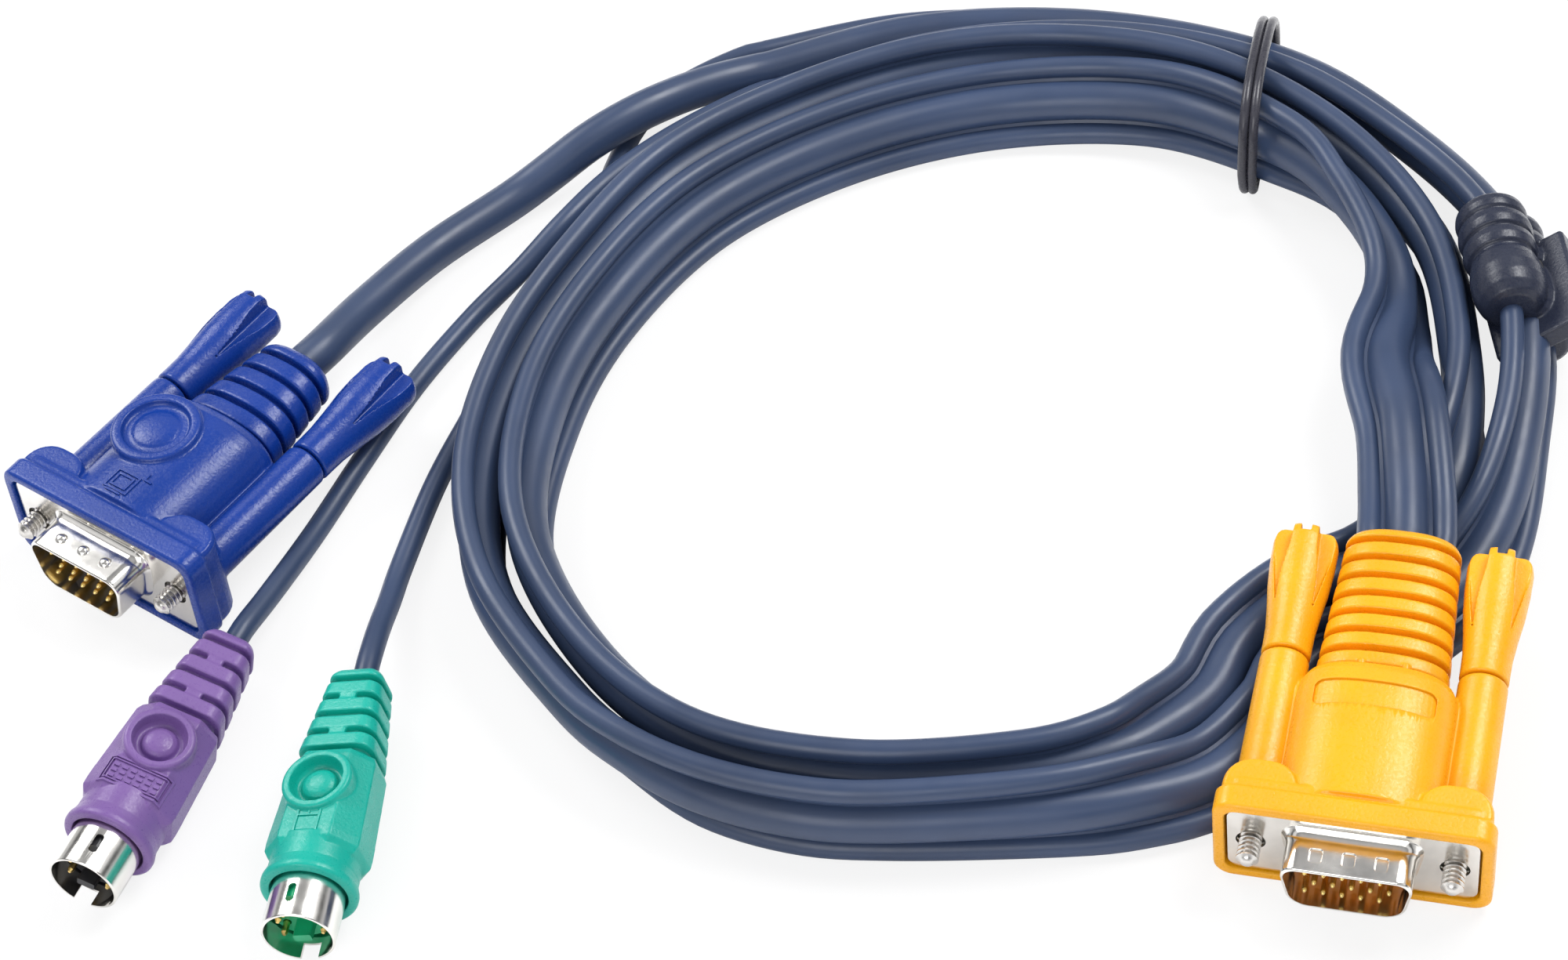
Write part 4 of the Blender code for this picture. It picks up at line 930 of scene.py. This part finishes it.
# %% Insulators and pins of the wide plugs
def d_insulator(name, plug, finish, slot, node):
    block = d_drawn(name, [(-1.2, -1.5), (6.0, -1.5)], 1.7)
    soften(block, 0.15)
    settle(block, plug, "cable", finish, slot, node)
    pins = []
    for row in range(3):
        for column in range(5):
            x = (column - 2.0) * PIN_PITCH + (PIN_PITCH / 2.0 if row == 1 else 0.0) - PIN_PITCH / 4.0
            pins.append(round_drawn("pin", PIN_STEPS, sides=16, at=(x, 0.0, (1 - row) * PIN_ROW_GAP)))
    first = pins[0]
    only(first)
    for pin in pins:
        pin.select_set(True)
    bpy.ops.object.join()
    first.name = plug + "_gold_pins"
    bpy.ops.object.shade_smooth_by_angle(angle=math.radians(50.0))
    settle(first, plug, "cable", GOLD, "gold_pin")


d_insulator("switch_block", "switch", AMBER, "amber_insulator", "switch_plug_insulator")
d_insulator("monitor_block", "monitor", BLACK, "black_insulator", "monitor_plug_insulator")
print("insulators done")

# %% [markdown]
# ## The round plugs
#
# A flared collar holds the metal sleeve. Behind it an eight-sided body carries a thumb ring,
# and a short strain relief with a bridge across every second groove runs on to the cord. The
# collar is a circle drawn through steps, and the body is a plane whose corners are bevelled by
# a single segment, which makes the flat chamfers.

# %% Sizes of a round plug
ROUND_BACK = 26.25
ROUND_END = 41.4
ROUND_GROOVES = 5
RING_Y = 20.4
ICON_Y = 13.9


# %% Hood of a round plug
def round_body(name, proud=0.0):
    """The eight-sided body of a round plug, which can stand proud of its own surface."""
    swell = 2.0 * proud
    return drawn(name, [
        (10.5, 10.2, 8.4), (10.9, 11.6, 9.7), (11.8, 12.7 + swell, 10.7 + swell),
        (13.0, 12.8 + swell, 10.8 + swell), (25.2, 11.6 + swell, 9.6 + swell), (26.2, 10.8, 8.8),
    ], corner=2.3, segments=1)


def round_hood(name):
    """The collar, body, strain relief and thumb ring of a round plug, with its socket."""
    hood = round_drawn(name, [
        (6.4, 11.6), (6.5, 12.2), (6.8, 12.6), (7.4, 12.6), (8.1, 12.1), (8.8, 11.75), (9.0, 11.6),
        (9.2, 11.7), (10.8, 11.6), (12.5, 11.6),
    ], sides=96)
    relief = ribbed("relief", ROUND_BACK, ROUND_END, (10.8, 7.0), (8.4, 6.4), ROUND_GROOVES, 0.95, 1.05,
                    corner=1.9)
    fuse(hood, round_body("body"), relief)
    pitch = (ROUND_END - ROUND_BACK) / ROUND_GROOVES
    bridges = []
    for groove in (1, 3):
        middle = ROUND_BACK + groove * pitch + 0.47
        height = 8.4 - 2.0 * groove / ROUND_GROOVES - 0.3
        bridges.append(drawn("bridge", [
            (middle - 0.7, 2.3, height), (middle + 0.7, 2.3, height)], corner=0.2, segments=2))
    fuse(hood, *bridges)
    dish = round_drawn("dish", [(4.1, 6.0), (4.6, 6.6), (7.0, 7.6)], upright=True, at=(0.0, RING_Y, 0.0))
    fuse(hood, thumb_ring("ring", (0.0, RING_Y, 4.95), 4.7, 3.55, 1.05, 2.3, 0.2))
    cut(hood, dish)
    fuse(hood, round_drawn("button", [
        (2.5, 4.9), (4.2, 4.9), (4.75, 4.4), (5.1, 3.4), (5.3, 2.0), (5.35, 0.9),
    ], upright=True, at=(0.0, RING_Y, 0.0)))
    socket = round_drawn("socket", [(5.5, 10.1), (12.3, 10.1)])
    cut(hood, socket)
    melt(hood, 0.15)
    return hood


purple_hood = round_hood("purple_hood")
settle(purple_hood, "keyboard", "cable", PURPLE, "purple_plastic", "keyboard_plug_hood")
green_hood = round_hood("green_hood")
settle(green_hood, "mouse", "cable", GREEN, "green_plastic", "mouse_plug_hood")

# %% Pictures of keys and of a mouse
key_bars = frame_bars(0.0, ICON_Y, 8.8, 4.0, 0.28) + frame_bars(0.0, ICON_Y, 7.8, 3.1, 0.16)
key_bars += [(-3.0 + 1.2 * column, 12.9 + 0.9 * row, 0.75, 0.5) for column in range(6) for row in range(3)]
raised_picture("key_picture", key_bars, round_body("key_surface", 0.22), "keyboard", PURPLE,
               "purple_plastic")
mouse_bars = frame_bars(0.0, ICON_Y, 3.0, 4.0, 0.26) + [(0.0, 15.0, 3.0, 0.2), (0.0, 15.5, 0.2, 1.0)]
raised_picture("mouse_picture", mouse_bars, round_body("mouse_surface", 0.18), "mouse", GREEN,
               "green_plastic")

# %% [markdown]
# ### Sleeves
#
# A round plug's sleeve is rolled from thin sheet. A turned tube with a bore cut through it
# gives the wall its real thickness, which shows where one looks inside.


# %% Sleeve model
def sleeve(name, plug, node):
    """The metal sleeve: a turned tube with a pressed slot on top and a keyway below."""
    tube = round_drawn(name, [(0.0, 9.3), (0.12, 9.5), (12.0, 9.5)], sides=96)
    inner = round_drawn("inner", [(-1.0, 8.8), (13.0, 8.8)], sides=96)
    slot_tool = drawn("slot", [(3.0, 1.1, 2.8), (6.0, 1.1, 2.8)], corner=0.5, segments=5, upright=True,
                      at=(0.0, 3.5, 0.0))
    keyway = drawn("keyway", [(-1.0, 2.4, 3.0), (2.2, 2.4, 3.0)], corner=0.2, segments=2,
                   at=(0.0, 0.0, -4.75))
    cut(tube, inner, slot_tool, keyway)
    soften(tube, 0.05)
    settle(tube, plug, "cable", NICKEL, "nickel", node)


sleeve("keyboard_sleeve", "keyboard", "keyboard_plug_sleeve")
sleeve("mouse_sleeve", "mouse", "mouse_plug_sleeve")

# %% [markdown]
# ## The choke
#
# A ferrite core is clipped and overmoulded on the outer pass. Three bands and a bulb follow
# the lobes of the cable, and a square plate stands out on both sides. Three turned lobes and
# the plate are joined and melted. Its frame is that of the cable's nearest station, so the
# choke sits on the cable however the route runs.

# %% Choke finish and frame
CHOKE_PLASTIC = moulded_finish("choke_vinyl", (0.021, 0.026, 0.047), 0.42, 0.04)
CHOKE_STATION = Vector((103.4, 11.9, 9.4)) - LAYOUT_CENTRE
choke_place, choke_across, _, choke_travel = min(
    flat_frames, key=lambda item: (item[0] - CHOKE_STATION).length)
PLUGS["choke"] = laid(choke_place, choke_across, choke_travel, choke_across.cross(choke_travel))
print("choke at", [round(value, 1) for value in choke_place])

# %% Choke model
BAND_STEPS = (
    (-9.3, 0.6), (-8.8, 0.78), (-7.6, 0.94), (-6.0, 1.02), (-4.0, 1.03), (-2.2, 0.98), (-1.2, 0.93),
    (-0.7, 0.86), (-0.3, 0.86), (0.0, 0.97), (1.2, 1.03), (2.4, 1.0), (2.7, 0.88), (3.1, 0.88),
    (3.4, 0.99), (4.6, 1.04), (5.8, 1.0), (6.1, 0.88), (6.5, 0.88), (6.8, 0.96), (7.8, 1.0),
    (8.8, 0.96), (9.3, 0.84),
)
LOBES = ((0.0, 5.1), (-THIN_OFFSET, 4.3), (THIN_OFFSET, 5.0))
choke_cover, *lobes = [
    round_drawn("lobe", [(y, 2.0 * radius * share) for y, share in BAND_STEPS], at=(x, 0.0, 0.0))
    for x, radius in LOBES
]
choke_cover.name = "choke_cover"
plate = drawn("plate", [(-12.5, 3.0, 13.6), (4.0, 3.0, 13.6)], corner=0.5, segments=3,
              at=(0.0, 0.0, -1.4))
soften(plate, 0.3)
fuse(choke_cover, *lobes, plate)
melt(choke_cover, 0.17)
settle(choke_cover, "choke", "cable", CHOKE_PLASTIC, "choke_plastic", "choke_housing")

# %% [markdown]
# ## The wire tie
#
# A length of soft coated wire goes twice round the coil. It is one curve that makes two
# turns side by side and drifts over by its own width on the way.

# %% Tie
TIE_CENTRE = Vector((75.2, 56.6, 0.0)) - LAYOUT_CENTRE
TIE_HEADING = math.radians(73.8)
TIE_RADIUS = 0.7
CROSS_AT = 0.42
CROSS_SHARE = 0.16
TIE_LOOP = (
    (-14.6, 8.0), (-14.3, 3.6), (-12.6, 1.3), (-9.0, 0.8), (0.0, 0.8), (10.0, 0.75), (13.6, 1.2),
    (15.6, 3.2), (15.3, 6.6), (13.4, 10.4), (8.6, 13.8), (0.0, 16.2), (-7.5, 16.7), (-12.6, 14.2),
)
heading = Vector((math.cos(TIE_HEADING), math.sin(TIE_HEADING), 0.0))
wide = heading.cross(Vector((0.0, 0.0, 1.0)))
TIE_FINISH = moulded_finish("tie_vinyl", (0.040, 0.040, 0.052), 0.36, 0.015, 900.0)
turn_points = [Vector((s, z, 0.0)) for s, z in TIE_LOOP[3:] + TIE_LOOP + TIE_LOOP[:5]]
tie_line, _ = smooth_route(turn_points, 0.8)
tie_places = []
for k, point in enumerate(tie_line):
    share = k / (len(tie_line) - 1)
    drift = (-1.0 + 2.0 * min(1.0, max(0.0, (share - CROSS_AT) / CROSS_SHARE))) * TIE_RADIUS
    tie_places.append(TIE_CENTRE + heading * point.x + Vector((0.0, 0.0, point.y)) + wide * drift)
wire_tie = bevelled_line("wire_tie", tie_places, TIE_RADIUS, 6, TIE_FINISH)
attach(wire_tie, "cable")
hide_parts("coil_tie")
print("tie points:", len(tie_line))

# %% [markdown]
# ## The pieces that keep their solids
#
# Some solids already have their right form: the rear shells, the inner moulds, the core and
# the small pins. They only need a finish, which goes into the material slot of their object.

# %% Finishes on the solids
INNER = clear_plastic("inner_moulding", (0.62, 0.62, 0.58), 0.5)
FERRITE = clear_plastic("ferrite_grey", (0.035, 0.035, 0.038), 0.6)
KEPT = {
    "rear_shell": PLATE, "inner_mould": INNER, "ferrite_core": FERRITE, "_pin_": GOLD,
    "keyboard_plug_insulator": BLACK, "mouse_plug_insulator": GREEN_CORE,
}
for node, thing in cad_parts.items():
    for word, finish in KEPT.items():
        if word in node:
            thing.data.materials.clear()
            thing.data.materials.append(finish)
print("finishes on", len(KEPT), "kinds of solid")

# %% [markdown]
# ## The studio
#
# The picture was taken on a white sweep with large soft lights. A plain floor stays under
# the cable, which shows as white to the camera and still takes a faint shadow. The key lamp
# hangs over the far right, a weaker one over the far left, and a large one fills from the
# front. The world has grey bands from floor to ceiling, for the metal to reflect.

# %% Floor
WHITE_SHARE = 0.82
bpy.ops.object.select_all(action="DESELECT")
bpy.ops.mesh.primitive_plane_add(size=6.0)
floor = bpy.context.active_object
floor.name = "floor"
paper, paper_tree, paper_shader, _ = new_finish("floor_paper", (0.93, 0.93, 0.93), 0.9)
rays = paper_tree.nodes.new("ShaderNodeLightPath")
white = paper_tree.nodes.new("ShaderNodeEmission")
white.inputs["Color"].default_value = (1.0, 1.0, 1.0, 1.0)
white.inputs["Strength"].default_value = 1.0
seen = paper_tree.nodes.new("ShaderNodeMath")
seen.operation = "MULTIPLY"
seen.inputs[1].default_value = WHITE_SHARE
blend = paper_tree.nodes.new("ShaderNodeMixShader")
paper_tree.links.new(rays.outputs["Is Camera Ray"], seen.inputs[0])
paper_tree.links.new(seen.outputs["Value"], blend.inputs["Fac"])
paper_tree.links.new(paper_shader.outputs["BSDF"], blend.inputs[1])
paper_tree.links.new(white.outputs["Emission"], blend.inputs[2])
paper_tree.links.new(blend.outputs["Shader"], paper_tree.nodes["Material Output"].inputs["Surface"])
floor.data.materials.append(paper)
print("floor laid")


# %% Lamps and surroundings
def lamp(name, place, size, power):
    """A square soft light that faces the middle of the table."""
    light = bpy.data.lights.new(name, "AREA")
    light.shape = "SQUARE"
    light.size = size
    light.energy = power
    thing = bpy.data.objects.new(name, light)
    bpy.context.collection.objects.link(thing)
    thing.location = place
    thing.rotation_euler = (-Vector(place)).to_track_quat("-Z", "Y").to_euler()


lamp("key_light", (0.48, 0.22, 0.80), 0.42, 6.2)
lamp("back_light", (-0.50, 0.50, 0.65), 0.45, 4.4)
lamp("front_fill", (-0.35, -0.75, 0.55), 0.60, 3.4)
world = bpy.data.worlds.new("studio")
bpy.context.scene.world = world
world.use_nodes = True
sky = world.node_tree
direction = sky.nodes.new("ShaderNodeTexCoord")
split = sky.nodes.new("ShaderNodeSeparateXYZ")
sky.links.new(direction.outputs["Generated"], split.inputs["Vector"])
bands = sky.nodes.new("ShaderNodeValToRGB")
BANDS = (
    (0.0, 0.75), (0.18, 0.62), (0.30, 0.08), (0.40, 0.10), (0.52, 0.85), (0.70, 0.95), (0.82, 0.30),
    (1.0, 0.55),
)
while len(bands.color_ramp.elements) < len(BANDS):
    bands.color_ramp.elements.new(0.5)
for element, (position, _) in zip(bands.color_ramp.elements, BANDS):
    element.position = position
for element, (_, grey) in zip(bands.color_ramp.elements, BANDS):
    element.color = (grey, grey, grey * 1.02, 1.0)
sky.links.new(split.outputs["Z"], bands.inputs["Fac"])
sky.links.new(bands.outputs["Color"], sky.nodes["Background"].inputs["Color"])
sky.nodes["Background"].inputs["Strength"].default_value = 0.95
bpy.context.scene.view_settings.view_transform = "Standard"
